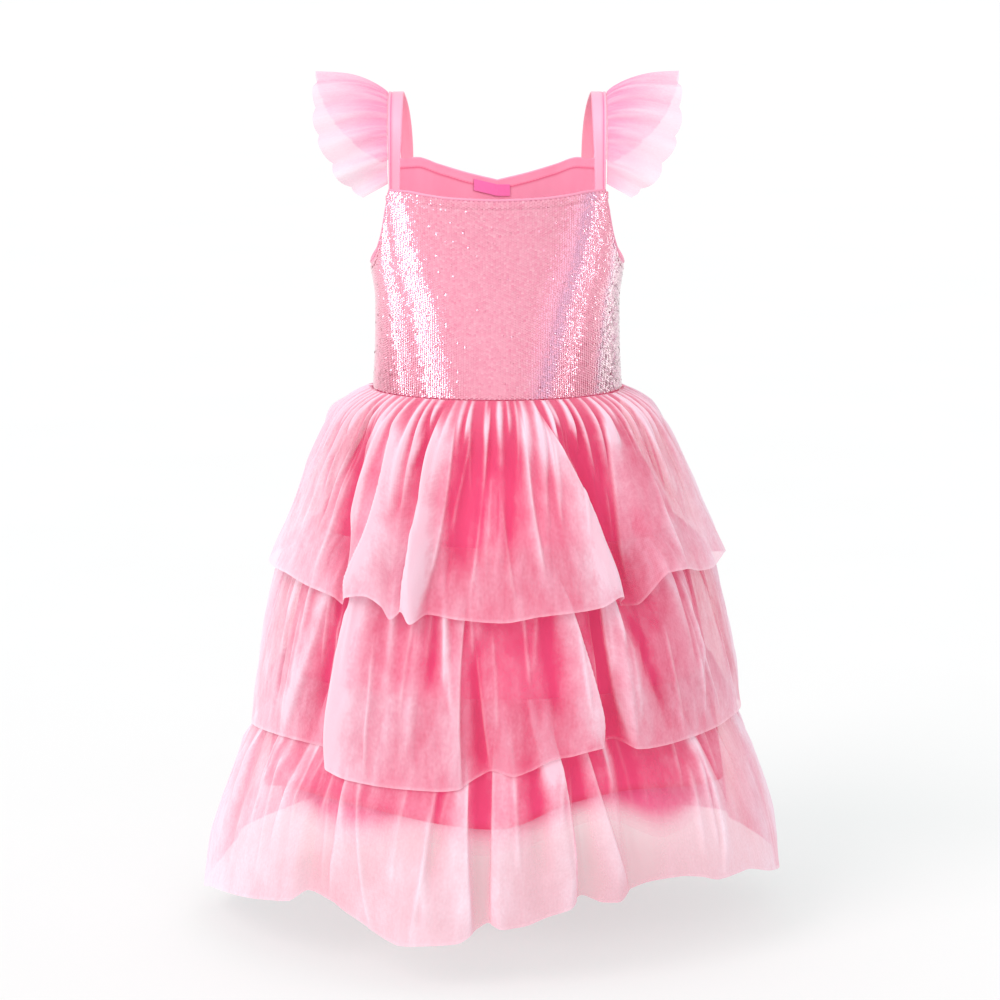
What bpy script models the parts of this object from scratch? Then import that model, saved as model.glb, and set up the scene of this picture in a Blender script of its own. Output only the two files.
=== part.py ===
"""Girl's party dress, size 116: sequinned bodice on straps, flutter sleeves, lining, three tulle tiers.

The dress is filled out as worn, with its front towards -Y. The origin lies midway between the tops
of the straps. Lengths are in metres and angles in degrees: 0 is the centre front, 90 the side at +X
and 180 the centre back. Left and right are as seen from the front, so left is at -X.
"""
import math
from collections import namedtuple

import bmesh
import bpy
from mathutils import Vector

MM = 0.001
SEAM_GAP = 0.3 * MM

# Heights, from the shoulder down
FRONT_NECK_CORNER_HEIGHT = -0.0855
BACK_NECK_CORNER_HEIGHT = -0.0655
UNDERARM_HEIGHT = -0.156
WAIST_HEIGHT = -0.272
TIER_2_SEAM_HEIGHT = -0.398
TIER_3_SEAM_HEIGHT = -0.530

# Wall thicknesses
BODICE_WALL = 2.0 * MM
STRAP_WALL = 1.6 * MM
LINING_WALL = 1.6 * MM
TULLE_WALL = 1.8 * MM
SLEEVE_WALL = 1.3 * MM
LABEL_WALL = 1.0 * MM

# Bodice
SIDE_SEAM_HALF_GAP = 0.11
BACK_SEAM_HALF_GAP = 0.075
PANEL_STEP = 6.0
CORNER_ROOM = 1.2
CORNER_RUN = 2.2
PANEL_ROWS = 8
Section = namedtuple("Section", "height half_width half_depth")
BODICE_SECTIONS = (
    Section(-0.272, 0.1157, 0.0820),
    Section(-0.230, 0.1135, 0.0825),
    Section(-0.191, 0.1130, 0.0838),
    Section(-0.156, 0.1168, 0.0842),
    Section(-0.120, 0.1172, 0.0832),
    Section(-0.085, 0.1166, 0.0805),
    Section(-0.060, 0.1160, 0.0785),
)
EdgePoint = namedtuple("EdgePoint", "angle height")
FRONT_NECK = (
    EdgePoint(0.0, -0.0915),
    EdgePoint(20.0, -0.0903),
    EdgePoint(35.0, -0.0877),
    EdgePoint(46.0, FRONT_NECK_CORNER_HEIGHT),
    EdgePoint(58.5, FRONT_NECK_CORNER_HEIGHT),
)
FRONT_ARMHOLE = (
    EdgePoint(58.5, FRONT_NECK_CORNER_HEIGHT),
    EdgePoint(60.5, -0.106),
    EdgePoint(65.5, -0.130),
    EdgePoint(75.0, -0.148),
    EdgePoint(90.0, UNDERARM_HEIGHT),
)
BACK_NECK = (
    EdgePoint(0.0, -0.0885),
    EdgePoint(14.0, -0.0815),
    EdgePoint(28.0, -0.0730),
    EdgePoint(41.0, BACK_NECK_CORNER_HEIGHT),
    EdgePoint(53.0, BACK_NECK_CORNER_HEIGHT),
)
BACK_ARMHOLE = (
    EdgePoint(53.0, BACK_NECK_CORNER_HEIGHT),
    EdgePoint(55.5, -0.092),
    EdgePoint(62.0, -0.122),
    EdgePoint(73.0, -0.146),
    EdgePoint(90.0, UNDERARM_HEIGHT),
)

# Straps
STRAP_WIDTH = 0.014
STRAP_FRONT_ANGLE = 53.5
STRAP_BACK_ANGLE = 47.0
STRAP_TOP_X = 0.0925
STRAP_TOP_Y = 0.004
STRAP_STEPS = 18
ARCH_FULLNESS = 1.6

# Flutter sleeves
SLEEVE_WAVES = 10
SLEEVE_STEPS_PER_WAVE = 4
SLEEVE_ROWS = 3
SLEEVE_START = 0.02
SLEEVE_END = 0.98
Flutter = namedtuple("Flutter", "along length rise turn")
SLEEVE_SHAPE = (
    Flutter(0.00, 0.014, -25.0, 12.0),
    Flutter(0.10, 0.040, -20.0, 14.0),
    Flutter(0.20, 0.058, -12.0, 14.0),
    Flutter(0.30, 0.070, -6.0, 10.0),
    Flutter(0.40, 0.076, 5.0, 5.0),
    Flutter(0.50, 0.077, 14.0, 0.0),
    Flutter(0.60, 0.074, 6.0, -5.0),
    Flutter(0.72, 0.066, -6.0, -10.0),
    Flutter(0.84, 0.050, -14.0, -14.0),
    Flutter(1.00, 0.014, -25.0, -12.0),
)
SLEEVE_ROOT_WAVE = 0.7 * MM
SLEEVE_EDGE_WAVE = 5.0 * MM
SLEEVE_SCALLOP = 0.035
SLEEVE_UNEVENNESS = 0.3

# Skirt layers: a share runs from 0 at the seam to 1 at the hem, a flare from seam size to hem size
Shape = namedtuple("Shape", "share flare")
Gather = namedtuple("Gather", "share depth")
GATHER_SECTIONS = (
    Gather(0.00, 1.3 * MM),
    Gather(0.12, 2.6 * MM),
    Gather(0.35, 1.9 * MM),
    Gather(0.70, 1.0 * MM),
    Gather(1.00, 1.2 * MM),
)
GATHER_UNEVENNESS = 0.35
FOLD_ONSET = 0.75
LAYER_CLEARANCE = 1.2 * MM
ROOM_STEPS = 6
ROOM_REACH = 1.25
ROOM_SIDE = 3.2

# A fold's angle is where it meets the hem; lean is how far round its root lies from there
Fold = namedtuple("Fold", "angle lean out drop")
TIER_1_FOLDS = (
    Fold(-90, 0, 1, -4), Fold(-67, -1, 0, -6), Fold(-57, -4, -1, -1), Fold(-45, -8, -3, 6),
    Fold(-42, -10, -5, 12), Fold(-38, -12, 6, 2), Fold(-33, -10, 6, -1), Fold(-28, -9, 8, 6),
    Fold(-25.5, -7, 9, 17), Fold(-23, -4, 2, 10), Fold(-20, -1, 12, 19), Fold(-17, 0, 0, 12),
    Fold(-9, 0, 4, 15), Fold(1, 0, 6, 17), Fold(10, -2, 6, 12), Fold(20, -5, 6, 9),
    Fold(25, -7, 7, 6), Fold(30, -9, 6, -2), Fold(34, -8.5, -12, 12), Fold(39, -8, -12, 13),
    Fold(43.5, -6, -9, 0), Fold(47, -5, 0, -16), Fold(52, -3, 3, -17), Fold(60, 0, 0, -11),
    Fold(68, 0, 0, -9), Fold(78, 0, 2, -18), Fold(90, 0, 0, -10), Fold(104, 0, 4, -2),
    Fold(115, 0, -10, 4), Fold(124, -2, 4, 8), Fold(140, -3, 8, 14), Fold(157, -4, 6, 8),
    Fold(163, -4, -10, 12), Fold(171, -2, 6, 16), Fold(189, 0, 8, 18), Fold(203, 3, 5, 12),
    Fold(208, 4, -10, 6), Fold(217, 5, 4, 6), Fold(236, 3, 6, 2), Fold(246, 2, -9, 0),
    Fold(256, 0, 2, -4),
)
TIER_2_FOLDS = (
    Fold(-90, 0, 2, 9), Fold(-80, 0, 0, 4), Fold(-57, 0, -4, -3), Fold(-46, 0, -9, -2),
    Fold(-43, 0, -8, 0), Fold(-39, 0, 10, 12), Fold(-34, 0, 10, 18), Fold(-21, 0, 9, 21),
    Fold(-13, 0, 8, 21), Fold(-9, 0, 6, 19), Fold(-4, 0, 1, 8), Fold(-1, 0, -1, 3),
    Fold(3.5, 0, 5, 7), Fold(7, 0, 4, 3), Fold(12.5, 0, 3, -7), Fold(16, 0, 4, -9),
    Fold(23, 0, 5, -15), Fold(26, 0, -11, -16), Fold(29, 0, -12, -17), Fold(32, 0, 6, -11),
    Fold(38, 0, 4, -9), Fold(48, 0, 2, -10), Fold(59, 0, 0, -11), Fold(69, 0, 0, -13),
    Fold(80, 0, 0, -14), Fold(90, 0, -2, -12), Fold(104, 0, 4, 0), Fold(117, 0, -10, 4),
    Fold(126, 0, 6, 10), Fold(146, 0, 8, 14), Fold(159, 0, 5, 10), Fold(165, 0, -11, 8),
    Fold(173, 0, 6, 14), Fold(196, 0, 8, 18), Fold(209, 0, 4, 12), Fold(215, 0, -11, 8),
    Fold(223, 0, 5, 12), Fold(242, 0, 6, 6), Fold(252, 0, -7, 4), Fold(260, 0, 2, 7),
)
TIER_3_FOLDS = (
    Fold(-90, 0, 8, 33), Fold(-75, 0, 4, 18), Fold(-60, 0, 0, 9), Fold(-49, 0, 0, 1),
    Fold(-43.5, 0, 0, -4), Fold(-40.5, 0, -11, -14), Fold(-34, 0, -5, -11), Fold(-29.5, 0, 2, -5),
    Fold(-25, 0, 6, 3), Fold(-20.5, 0, 10, 13), Fold(-17.5, 0, 12, 17), Fold(-12, 0, 12, 15),
    Fold(-7.5, 0, 8, 13), Fold(-3.5, 0, 0, 1), Fold(-1.5, 0, -4, -3), Fold(1, 0, 5, 0),
    Fold(5, 0, 4, -2), Fold(9, 0, 0, -8), Fold(13.5, 0, -1, -15), Fold(16.5, 0, -12, -23),
    Fold(20.5, 0, -5, -17), Fold(23.5, 0, -3, -16), Fold(27.5, 0, -13, -24), Fold(32, 0, -12, -28),
    Fold(38.5, 0, -8, -29), Fold(43, 0, -4, -26), Fold(48, 0, 0, -20), Fold(56, 0, 0, -20),
    Fold(66, 0, 3, -9), Fold(77, 0, -1, 2), Fold(90, 0, -8, 13), Fold(104, 0, 0, 12),
    Fold(118, 0, -10, 2), Fold(126, 0, 6, 4), Fold(146, 0, 10, 12), Fold(159, 0, 4, 2),
    Fold(165, 0, -11, -6), Fold(173, 0, 6, 4), Fold(195, 0, 10, 12), Fold(208, 0, 2, 2),
    Fold(215, 0, -11, -6), Fold(223, 0, 6, 2), Fold(242, 0, 8, 10), Fold(254, 0, -6, 12),
    Fold(262, 0, 2, 26),
)
LINING_FOLDS = (
    Fold(-90, 0, 4, 20), Fold(-57, 0, 0, 1), Fold(-40, 0, -2, 2), Fold(0, 0, 0, 15),
    Fold(19, 0, -6, -6), Fold(33, 0, -7, -11), Fold(61, 0, 0, -1), Fold(90, 0, -3, 10),
    Fold(112, 0, -5, 10), Fold(132, 0, 1, -3), Fold(160, 0, -4, 8), Fold(184, 0, 2, 0),
    Fold(212, 0, -5, 10), Fold(232, 0, 1, -2), Fold(252, 0, -4, 8),
)
PETTICOAT_FOLDS = (
    Fold(-90, 0, 0, 16), Fold(-66, 0, -5, 2), Fold(-40, 0, 3, 12), Fold(-20, 0, -4, 0),
    Fold(-4, 0, 3, 10), Fold(28, 0, -6, -16), Fold(48, 0, 2, 9), Fold(72, 0, -2, 2),
    Fold(90, 0, 0, 20), Fold(112, 0, -6, 0), Fold(138, 0, 3, 12), Fold(160, 0, -5, -4),
    Fold(184, 0, 3, 10), Fold(208, 0, -6, -6), Fold(232, 0, 3, 10), Fold(252, 0, -4, 4),
)

Layer = namedtuple(
    "Layer",
    "name seam hem_height hem_half_width hem_half_depth wall gathers columns rows shape folds onset",
)
LINING = Layer(
    "skirt_lining", Section(-0.266, 0.1129, 0.0792), -0.632, 0.2175, 0.1780, LINING_WALL, 0, 48,
    (0.0, 0.04, 0.20, 0.361, 0.541, 0.721, 0.86, 1.0),
    (Shape(0.0, 0.0), Shape(0.04, 0.004), Shape(0.361, 0.515), Shape(0.721, 0.82), Shape(1.0, 1.0)),
    LINING_FOLDS, 0.74,
)
PETTICOAT_SEAM_SHARE = 0.80
PETTICOAT_SEAM_INSET = LINING_WALL + 2.8 * MM
PETTICOAT_ROWS = (0.0, 0.33, 0.66, 1.0)
PETTICOAT_HEM = Section(-0.664, 0.2060, 0.1680)
TIER_1_HEM = Section(-0.440, 0.2140, 0.1720)
TIER_2_HEM = Section(-0.585, 0.2320, 0.1950)
TIER_3_HEM = Section(-0.720, 0.2735, 0.2350)
TIER_1_SHAPE = (
    Shape(0.00, 0.00), Shape(0.04, 0.13), Shape(0.11, 0.27), Shape(0.22, 0.40), Shape(0.38, 0.54),
    Shape(0.53, 0.65), Shape(0.73, 0.79), Shape(0.89, 0.92), Shape(1.00, 1.00),
)
TIER_2_SHAPE = (
    Shape(0.00, 0.00), Shape(0.10, 0.27), Shape(0.28, 0.52), Shape(0.53, 0.73), Shape(0.77, 0.89),
    Shape(1.00, 1.00),
)
TIER_3_SHAPE = (
    Shape(0.00, 0.00), Shape(0.15, 0.20), Shape(0.32, 0.43), Shape(0.43, 0.57), Shape(0.66, 0.80),
    Shape(0.85, 0.93), Shape(1.00, 1.00),
)
TIER_1_GATHERS = 58
TIER_2_GATHERS = 48
TIER_3_GATHERS = 52
TIER_1_ROWS = (0.0, 0.05, 0.14, 0.30, 0.52, 0.76, 1.0)
TIER_2_ROWS = (0.0, 0.10, 0.26, 0.50, 0.75, 1.0)
TIER_3_ROWS = (0.0, 0.12, 0.25, 0.36, 0.50, 0.75, 1.0)

# Neck label, sewn inside the back just left of the centre
LABEL_FIRST_ANGLE = 174.0
LABEL_LAST_ANGLE = 191.2
LABEL_STEPS = 5
LABEL_BELOW_EDGE = 3.3 * MM
LABEL_HEIGHT = 0.011
LABEL_GAP = 0.5 * MM

Finish = namedtuple("Finish", "colour roughness")
FINISHES = {
    "sequins": Finish((0.90, 0.42, 0.55, 1.0), 0.25),
    "satin": Finish((0.93, 0.40, 0.54, 1.0), 0.40),
    "lining": Finish((0.95, 0.22, 0.38, 1.0), 0.60),
    "tulle": Finish((0.95, 0.55, 0.68, 1.0), 0.80),
    "label": Finish((0.90, 0.08, 0.35, 1.0), 0.55),
}


def lerp(first, last, share):
    """Value at a share of the way from the first to the last."""
    return first + (last - first) * share


def slope_at(points, index):
    """Slope of the smooth curve at one of its points: level where the points turn back."""
    slopes = []
    for low in (index - 1, index):
        if 0 <= low < len(points) - 1:
            (x0, y0), (x1, y1) = points[low], points[low + 1]
            slopes.append((y1 - y0) / (x1 - x0))
    if len(slopes) == 1:
        return slopes[0]
    if slopes[0] * slopes[1] <= 0.0:
        return 0.0
    return 2.0 * slopes[0] * slopes[1] / (slopes[0] + slopes[1])


def hermite(start, start_slope, end, end_slope, share):
    """Cubic from start to end with the given slopes, for numbers or vectors."""
    square = share * share
    cube = square * share
    return (
        start * (2.0 * cube - 3.0 * square + 1.0)
        + start_slope * (cube - 2.0 * square + share)
        + end * (3.0 * square - 2.0 * cube)
        + end_slope * (cube - square)
    )


def curve_value(points, x):
    """Height at x of the smooth curve through the points, which never overshoots them."""
    index = 0
    while index < len(points) - 2 and x > points[index + 1][0]:
        index += 1
    (x0, y0), (x1, y1) = points[index], points[index + 1]
    width = x1 - x0
    share = min(max((x - x0) / width, 0.0), 1.0)
    return hermite(y0, slope_at(points, index) * width, y1, slope_at(points, index + 1) * width, share)


def column_curve(rows, key, value):
    """Two named columns of a table as the points of a curve, in rising order."""
    return sorted((getattr(row, key), getattr(row, value)) for row in rows)


def fold_curve(folds, value):
    """One column of a fold table as a curve that runs on past both ends of the turn."""
    turn = [(fold.angle, getattr(fold, value)) for fold in folds]
    before = [(angle - 360.0, amount) for angle, amount in turn[-3:]]
    after = [(angle + 360.0, amount) for angle, amount in turn[:3]]
    return before + turn + after


def plan_point(half_width, half_depth, angle, height):
    """Point of a level oval at an angle from the centre front."""
    turn = math.radians(angle)
    return Vector((half_width * math.sin(turn), -half_depth * math.cos(turn), height))


def bodice_point(angle, height, inset):
    """Point of the bodice at a height, inset metres inside its outer face."""
    half_width = curve_value(column_curve(BODICE_SECTIONS, "height", "half_width"), height)
    half_depth = curve_value(column_curve(BODICE_SECTIONS, "height", "half_depth"), height)
    return plan_point(half_width - inset, half_depth - inset, angle, height)


def top_edge_height(angle):
    """Height of the neck edge or armhole at an angle."""
    from_front = abs((angle + 180.0) % 360.0 - 180.0)
    if from_front <= FRONT_NECK[-1].angle:
        return curve_value(FRONT_NECK, from_front)
    if from_front <= 90.0:
        return curve_value(FRONT_ARMHOLE, from_front)
    from_back = 180.0 - from_front
    if from_back <= BACK_NECK[-1].angle:
        return curve_value(BACK_NECK, from_back)
    return curve_value(BACK_ARMHOLE, from_back)


def unevenness(number, seed):
    """Steady value between -1 and 1 for a numbered gather or wave."""
    return math.sin(number * 12.9898 + seed * 78.233) * math.cos(number * 4.1414 + seed)


def fold_strength(layer, share):
    """How far a layer's folds have opened: from the seam down on a tier, near the hem on the lining."""
    if layer.gathers:
        return min(share / layer.onset, 1.0)
    return max(share - layer.onset, 0.0) / (1.0 - layer.onset)


def layer_height(layer, drop, share):
    """Height at a share of a layer's length, where its hem hangs drop millimetres lower than level."""
    hang = share if layer.gathers else fold_strength(layer, share)
    return lerp(layer.seam.height, layer.hem_height, share) - drop * MM * hang


def layer_size(layer, out, share):
    """Half-width and half-depth of a layer's outer face, without its gathers."""
    flare = curve_value(layer.shape, share)
    fold = out * MM * fold_strength(layer, share)
    half_width = lerp(layer.seam.half_width, layer.hem_half_width, flare) + fold
    half_depth = lerp(layer.seam.half_depth, layer.hem_half_depth, flare) + fold
    return half_width, half_depth


def room_at(layer, angle, height):
    """Half-width and half-depth left inside a layer at an angle and height, or None below its hem."""
    drop = curve_value(fold_curve(layer.folds, "drop"), angle)
    share = 0.5
    for _ in range(ROOM_STEPS):
        length = layer_height(layer, drop, 0.0) - layer_height(layer, drop, share)
        share *= (layer.seam.height - height) / length
    if share > ROOM_REACH:
        return None
    share = min(share, 1.0)
    lean = curve_value(fold_curve(layer.folds, "lean"), angle)
    out = curve_value(fold_curve(layer.folds, "out"), angle - lean * (1.0 - share))
    half_width, half_depth = layer_size(layer, out, share)
    gather = curve_value(GATHER_SECTIONS, share) * (1.0 + GATHER_UNEVENNESS) if layer.gathers else 0.0
    inside = layer.wall + LAYER_CLEARANCE + gather
    return half_width - inside, half_depth - inside


def layer_room(layer, angle, height):
    """Least room inside a layer over the width of a fold's side."""
    rooms = [room_at(layer, angle + side, height) for side in (-ROOM_SIDE, 0.0, ROOM_SIDE)]
    rooms = [room for room in rooms if room]
    return min(rooms) if rooms else None


def layer_points(layer, above):
    """Outer and inner grids of a skirt layer, rows from seam to hem, kept inside the layer above."""
    outs = fold_curve(layer.folds, "out")
    drops = fold_curve(layer.folds, "drop")
    leans = fold_curve(layer.folds, "lean")
    outer = []
    inner = []
    for share in layer.rows:
        depth = curve_value(GATHER_SECTIONS, share) if layer.gathers else 0.0
        outer_row = []
        inner_row = []
        for column in range(layer.columns):
            angle = -90.0 + 360.0 * column / layer.columns
            height = layer_height(layer, curve_value(drops, angle), share)
            half_width, half_depth = layer_size(layer, curve_value(outs, angle), share)
            ridge = 1.0 if column % 2 == 0 else -1.0
            wave = ridge * depth * (1.0 + GATHER_UNEVENNESS * unevenness(column, layer.gathers))
            half_width += wave
            half_depth += wave
            place = angle + curve_value(leans, angle) * (1.0 - share)
            room = layer_room(above, place, height) if above else None
            if room:
                half_width = min(half_width, room[0])
                half_depth = min(half_depth, room[1])
            outer_row.append(plan_point(half_width, half_depth, place, height))
            inner_row.append(plan_point(half_width - layer.wall, half_depth - layer.wall, place, height))
        outer.append(outer_row)
        inner.append(inner_row)
    return outer, inner


def gathered_tier(name, seam, hem, gathers, rows, shape, folds):
    """A gathered tulle tier with one ridge and one valley for each gather."""
    return Layer(
        name, seam, hem.height, hem.half_width, hem.half_depth, TULLE_WALL, gathers, 2 * gathers,
        rows, shape, folds, FOLD_ONSET,
    )


def seam_on_lining(height):
    """Oval on which a tier is sewn to the lining: its gathers' valleys just clear the lining."""
    share = (LINING.seam.height - height) / (LINING.seam.height - LINING.hem_height)
    flare = curve_value(LINING.shape, share)
    out = SEAM_GAP + TULLE_WALL + GATHER_SECTIONS[0].depth * (1.0 + GATHER_UNEVENNESS)
    half_width = lerp(LINING.seam.half_width, LINING.hem_half_width, flare)
    half_depth = lerp(LINING.seam.half_depth, LINING.hem_half_depth, flare)
    return Section(height, half_width + out, half_depth + out)


def add_object(name, faces_of, finish):
    """Object from a function that fills a bmesh, with its own material."""
    mesh = bpy.data.meshes.new(name)
    form = bmesh.new()
    faces_of(form)
    bmesh.ops.recalc_face_normals(form, faces=form.faces)
    form.to_mesh(mesh)
    form.free()
    thing = bpy.data.objects.new(name, mesh)
    bpy.context.collection.objects.link(thing)
    material = bpy.data.materials.new(name)
    material.use_nodes = True
    shader = material.node_tree.nodes["Principled BSDF"]
    shader.inputs["Base Color"].default_value = FINISHES[finish].colour
    shader.inputs["Roughness"].default_value = FINISHES[finish].roughness
    mesh.materials.append(material)
    return thing


def add_wall(name, outer, inner, ring, finish):
    """Closed cloth wall between two equal grids; a ring joins its last column to its first."""
    row_count = len(outer)
    column_count = len(outer[0])
    last = column_count if ring else column_count - 1

    def fill(form):
        far = [[form.verts.new(point) for point in row] for row in outer]
        near = [[form.verts.new(point) for point in row] for row in inner]

        def quad(a, b, c, d):
            form.faces.new((a, b, c))
            form.faces.new((a, c, d))

        for row in range(row_count - 1):
            for column in range(last):
                after = (column + 1) % column_count
                quad(far[row][column], far[row + 1][column], far[row + 1][after], far[row][after])
                form.faces.new((near[row][column], near[row + 1][after], near[row + 1][column]))
                form.faces.new((near[row][column], near[row][after], near[row + 1][after]))
        for column in range(last):
            after = (column + 1) % column_count
            quad(near[0][column], far[0][column], far[0][after], near[0][after])
            quad(far[-1][column], near[-1][column], near[-1][after], far[-1][after])
        if not ring:
            for row in range(row_count - 1):
                quad(near[row][0], near[row + 1][0], far[row + 1][0], far[row][0])
                quad(far[row][-1], far[row + 1][-1], near[row + 1][-1], near[row][-1])

    return add_object(name, fill, finish)


def panel_angles(first, last, corners):
    """Angles of a panel's columns: even steps with the neck corners among them."""
    steps = round((last - first) / PANEL_STEP)
    even = [lerp(first, last, step / steps) for step in range(steps + 1)]
    kept = [angle for angle in even if all(abs(angle - corner) > CORNER_ROOM for corner in corners)]
    return sorted(kept + list(corners))


def bodice_panel(name, first, last, corners, finish):
    """One panel of the bodice, from the waist seam up to its neck and armhole edges."""
    angles = panel_angles(first, last, corners)
    outer = []
    inner = []
    for row in range(PANEL_ROWS + 1):
        share = row / PANEL_ROWS
        places = [(angle, lerp(WAIST_HEIGHT, top_edge_height(angle), share)) for angle in angles]
        outer.append([bodice_point(angle, height, 0.0) for angle, height in places])
        inner.append([bodice_point(angle, height, BODICE_WALL) for angle, height in places])
    return add_wall(name, outer, inner, False, finish)


def bodice():
    """Front panel and the two back panels, parted by their seams."""
    front_corner = FRONT_NECK[-1].angle
    back_corner = 180.0 - BACK_NECK[-1].angle
    side = 90.0 - SIDE_SEAM_HALF_GAP
    front_corners = (-front_corner - CORNER_RUN, -front_corner, front_corner, front_corner + CORNER_RUN)
    bodice_panel("bodice_front", -side, side, front_corners, "sequins")
    right_corners = (back_corner - CORNER_RUN, back_corner)
    bodice_panel("bodice_back_right", 180.0 - side, 180.0 - BACK_SEAM_HALF_GAP, right_corners, "satin")
    left_corners = (360.0 - back_corner, 360.0 - back_corner + CORNER_RUN)
    bodice_panel("bodice_back_left", 180.0 + BACK_SEAM_HALF_GAP, 180.0 + side, left_corners, "satin")


def across_bodice(angle):
    """Level direction along the bodice wall at an angle, pointing away from the middle."""
    section = BODICE_SECTIONS[-2]
    turn = math.radians(angle)
    along = Vector((section.half_width * math.cos(turn), section.half_depth * math.sin(turn), 0.0))
    return along.normalized() if along.x > 0.0 else -along.normalized()


def strap_frame(along):
    """Centre, width direction, path direction and outward normal of the strap at +X."""
    middle = BODICE_WALL / 2.0
    front = bodice_point(STRAP_FRONT_ANGLE, FRONT_NECK_CORNER_HEIGHT + SEAM_GAP, middle)
    back = bodice_point(180.0 - STRAP_BACK_ANGLE, BACK_NECK_CORNER_HEIGHT + SEAM_GAP, middle)
    top = Vector((STRAP_TOP_X, STRAP_TOP_Y, -STRAP_WALL / 2.0))
    over = Vector((1.0, 0.0, 0.0))
    if along <= 0.5:
        share = along * 2.0
        start, end, end_across = front, top, over
        start_across = across_bodice(STRAP_FRONT_ANGLE)
    else:
        share = along * 2.0 - 1.0
        start, end, start_across = top, back, over
        end_across = across_bodice(180.0 - STRAP_BACK_ANGLE)
    rise = Vector((0.0, 0.0, end.z - start.z)) * ARCH_FULLNESS
    run = Vector((0.0, end.y - start.y, 0.0)) * ARCH_FULLNESS
    slopes = (rise, run) if along <= 0.5 else (run, rise)
    centre = hermite(start, slopes[0], end, slopes[1], share)
    ahead = hermite(start, slopes[0], end, slopes[1], min(share + 0.01, 1.0))
    behind = hermite(start, slopes[0], end, slopes[1], max(share - 0.01, 0.0))
    path = (ahead - behind).normalized()
    turn = share * share * (3.0 - 2.0 * share)
    across = start_across.lerp(end_across, turn)
    across = (across - path * across.dot(path)).normalized()
    return centre, across, path, across.cross(path)


def mirrored(rows, side):
    """Grid of points moved to the strap's own side of the dress."""
    return [[Vector((point.x * side, point.y, point.z)) for point in row] for row in rows]


def strap(name, side):
    """Satin strap from the front neck corner over the shoulder to the back neck corner."""
    outer = []
    inner = []
    for step in range(STRAP_STEPS + 1):
        centre, across, _, normal = strap_frame(step / STRAP_STEPS)
        edges = [centre + across * STRAP_WIDTH * half for half in (-0.5, 0.5)]
        outer.append([point + normal * STRAP_WALL / 2.0 for point in edges])
        inner.append([point - normal * STRAP_WALL / 2.0 for point in edges])
    return add_wall(name, mirrored(outer, side), mirrored(inner, side), False, "satin")


def sleeve_point(along, out):
    """Point of the flutter sleeve's middle face and its normal, out from 0 at the strap to 1."""
    centre, across, path, _ = strap_frame(along)
    length = curve_value(column_curve(SLEEVE_SHAPE, "along", "length"), along)
    rise = math.radians(curve_value(column_curve(SLEEVE_SHAPE, "along", "rise"), along))
    turn = math.radians(curve_value(column_curve(SLEEVE_SHAPE, "along", "turn"), along))
    away = Vector((math.cos(rise) * math.cos(turn), -math.cos(rise) * math.sin(turn), math.sin(rise)))
    phase = 2.0 * math.pi * SLEEVE_WAVES * (along - SLEEVE_START) / (SLEEVE_END - SLEEVE_START)
    wave = math.cos(phase)
    uneven = 1.0 + SLEEVE_UNEVENNESS * unevenness(round(phase / math.pi), 3.0)
    depth = lerp(SLEEVE_ROOT_WAVE, SLEEVE_EDGE_WAVE, out) * uneven
    face = away.cross(path).normalized()
    swell = SLEEVE_WALL / 2.0 + SLEEVE_ROOT_WAVE * (1.0 + SLEEVE_UNEVENNESS)
    root = centre + across * (STRAP_WIDTH / 2.0 + SEAM_GAP + swell * abs(face.dot(across)))
    reach = length * out * (1.0 + SLEEVE_SCALLOP * wave * out)
    return root + away * reach + face * wave * depth, face


def sleeve_ruffle(name, side):
    """Gathered flutter sleeve that stands out from the strap's outer edge."""
    steps = SLEEVE_WAVES * SLEEVE_STEPS_PER_WAVE
    outer = []
    inner = []
    for row in range(SLEEVE_ROWS + 1):
        outer_row = []
        inner_row = []
        for step in range(steps + 1):
            along = lerp(SLEEVE_START, SLEEVE_END, step / steps)
            point, face = sleeve_point(along, row / SLEEVE_ROWS)
            outer_row.append(point + face * SLEEVE_WALL / 2.0)
            inner_row.append(point - face * SLEEVE_WALL / 2.0)
        outer.append(outer_row)
        inner.append(inner_row)
    return add_wall(name, mirrored(outer, side), mirrored(inner, side), False, "tulle")


def neck_label():
    """Plain label inside the back neck, made from the back panels' inner face moved inwards."""
    near_face = BODICE_WALL + LABEL_GAP
    outer = []
    inner = []
    for below in (LABEL_BELOW_EDGE, LABEL_BELOW_EDGE + LABEL_HEIGHT):
        outer_row = []
        inner_row = []
        for step in range(LABEL_STEPS + 1):
            angle = lerp(LABEL_FIRST_ANGLE, LABEL_LAST_ANGLE, step / LABEL_STEPS)
            height = top_edge_height(max(angle, 180.0)) - below
            outer_row.append(bodice_point(angle, height, near_face))
            inner_row.append(bodice_point(angle, height, near_face + LABEL_WALL))
        outer.append(outer_row)
        inner.append(inner_row)
    return add_wall("neck_label", outer, inner, False, "label")


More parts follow.
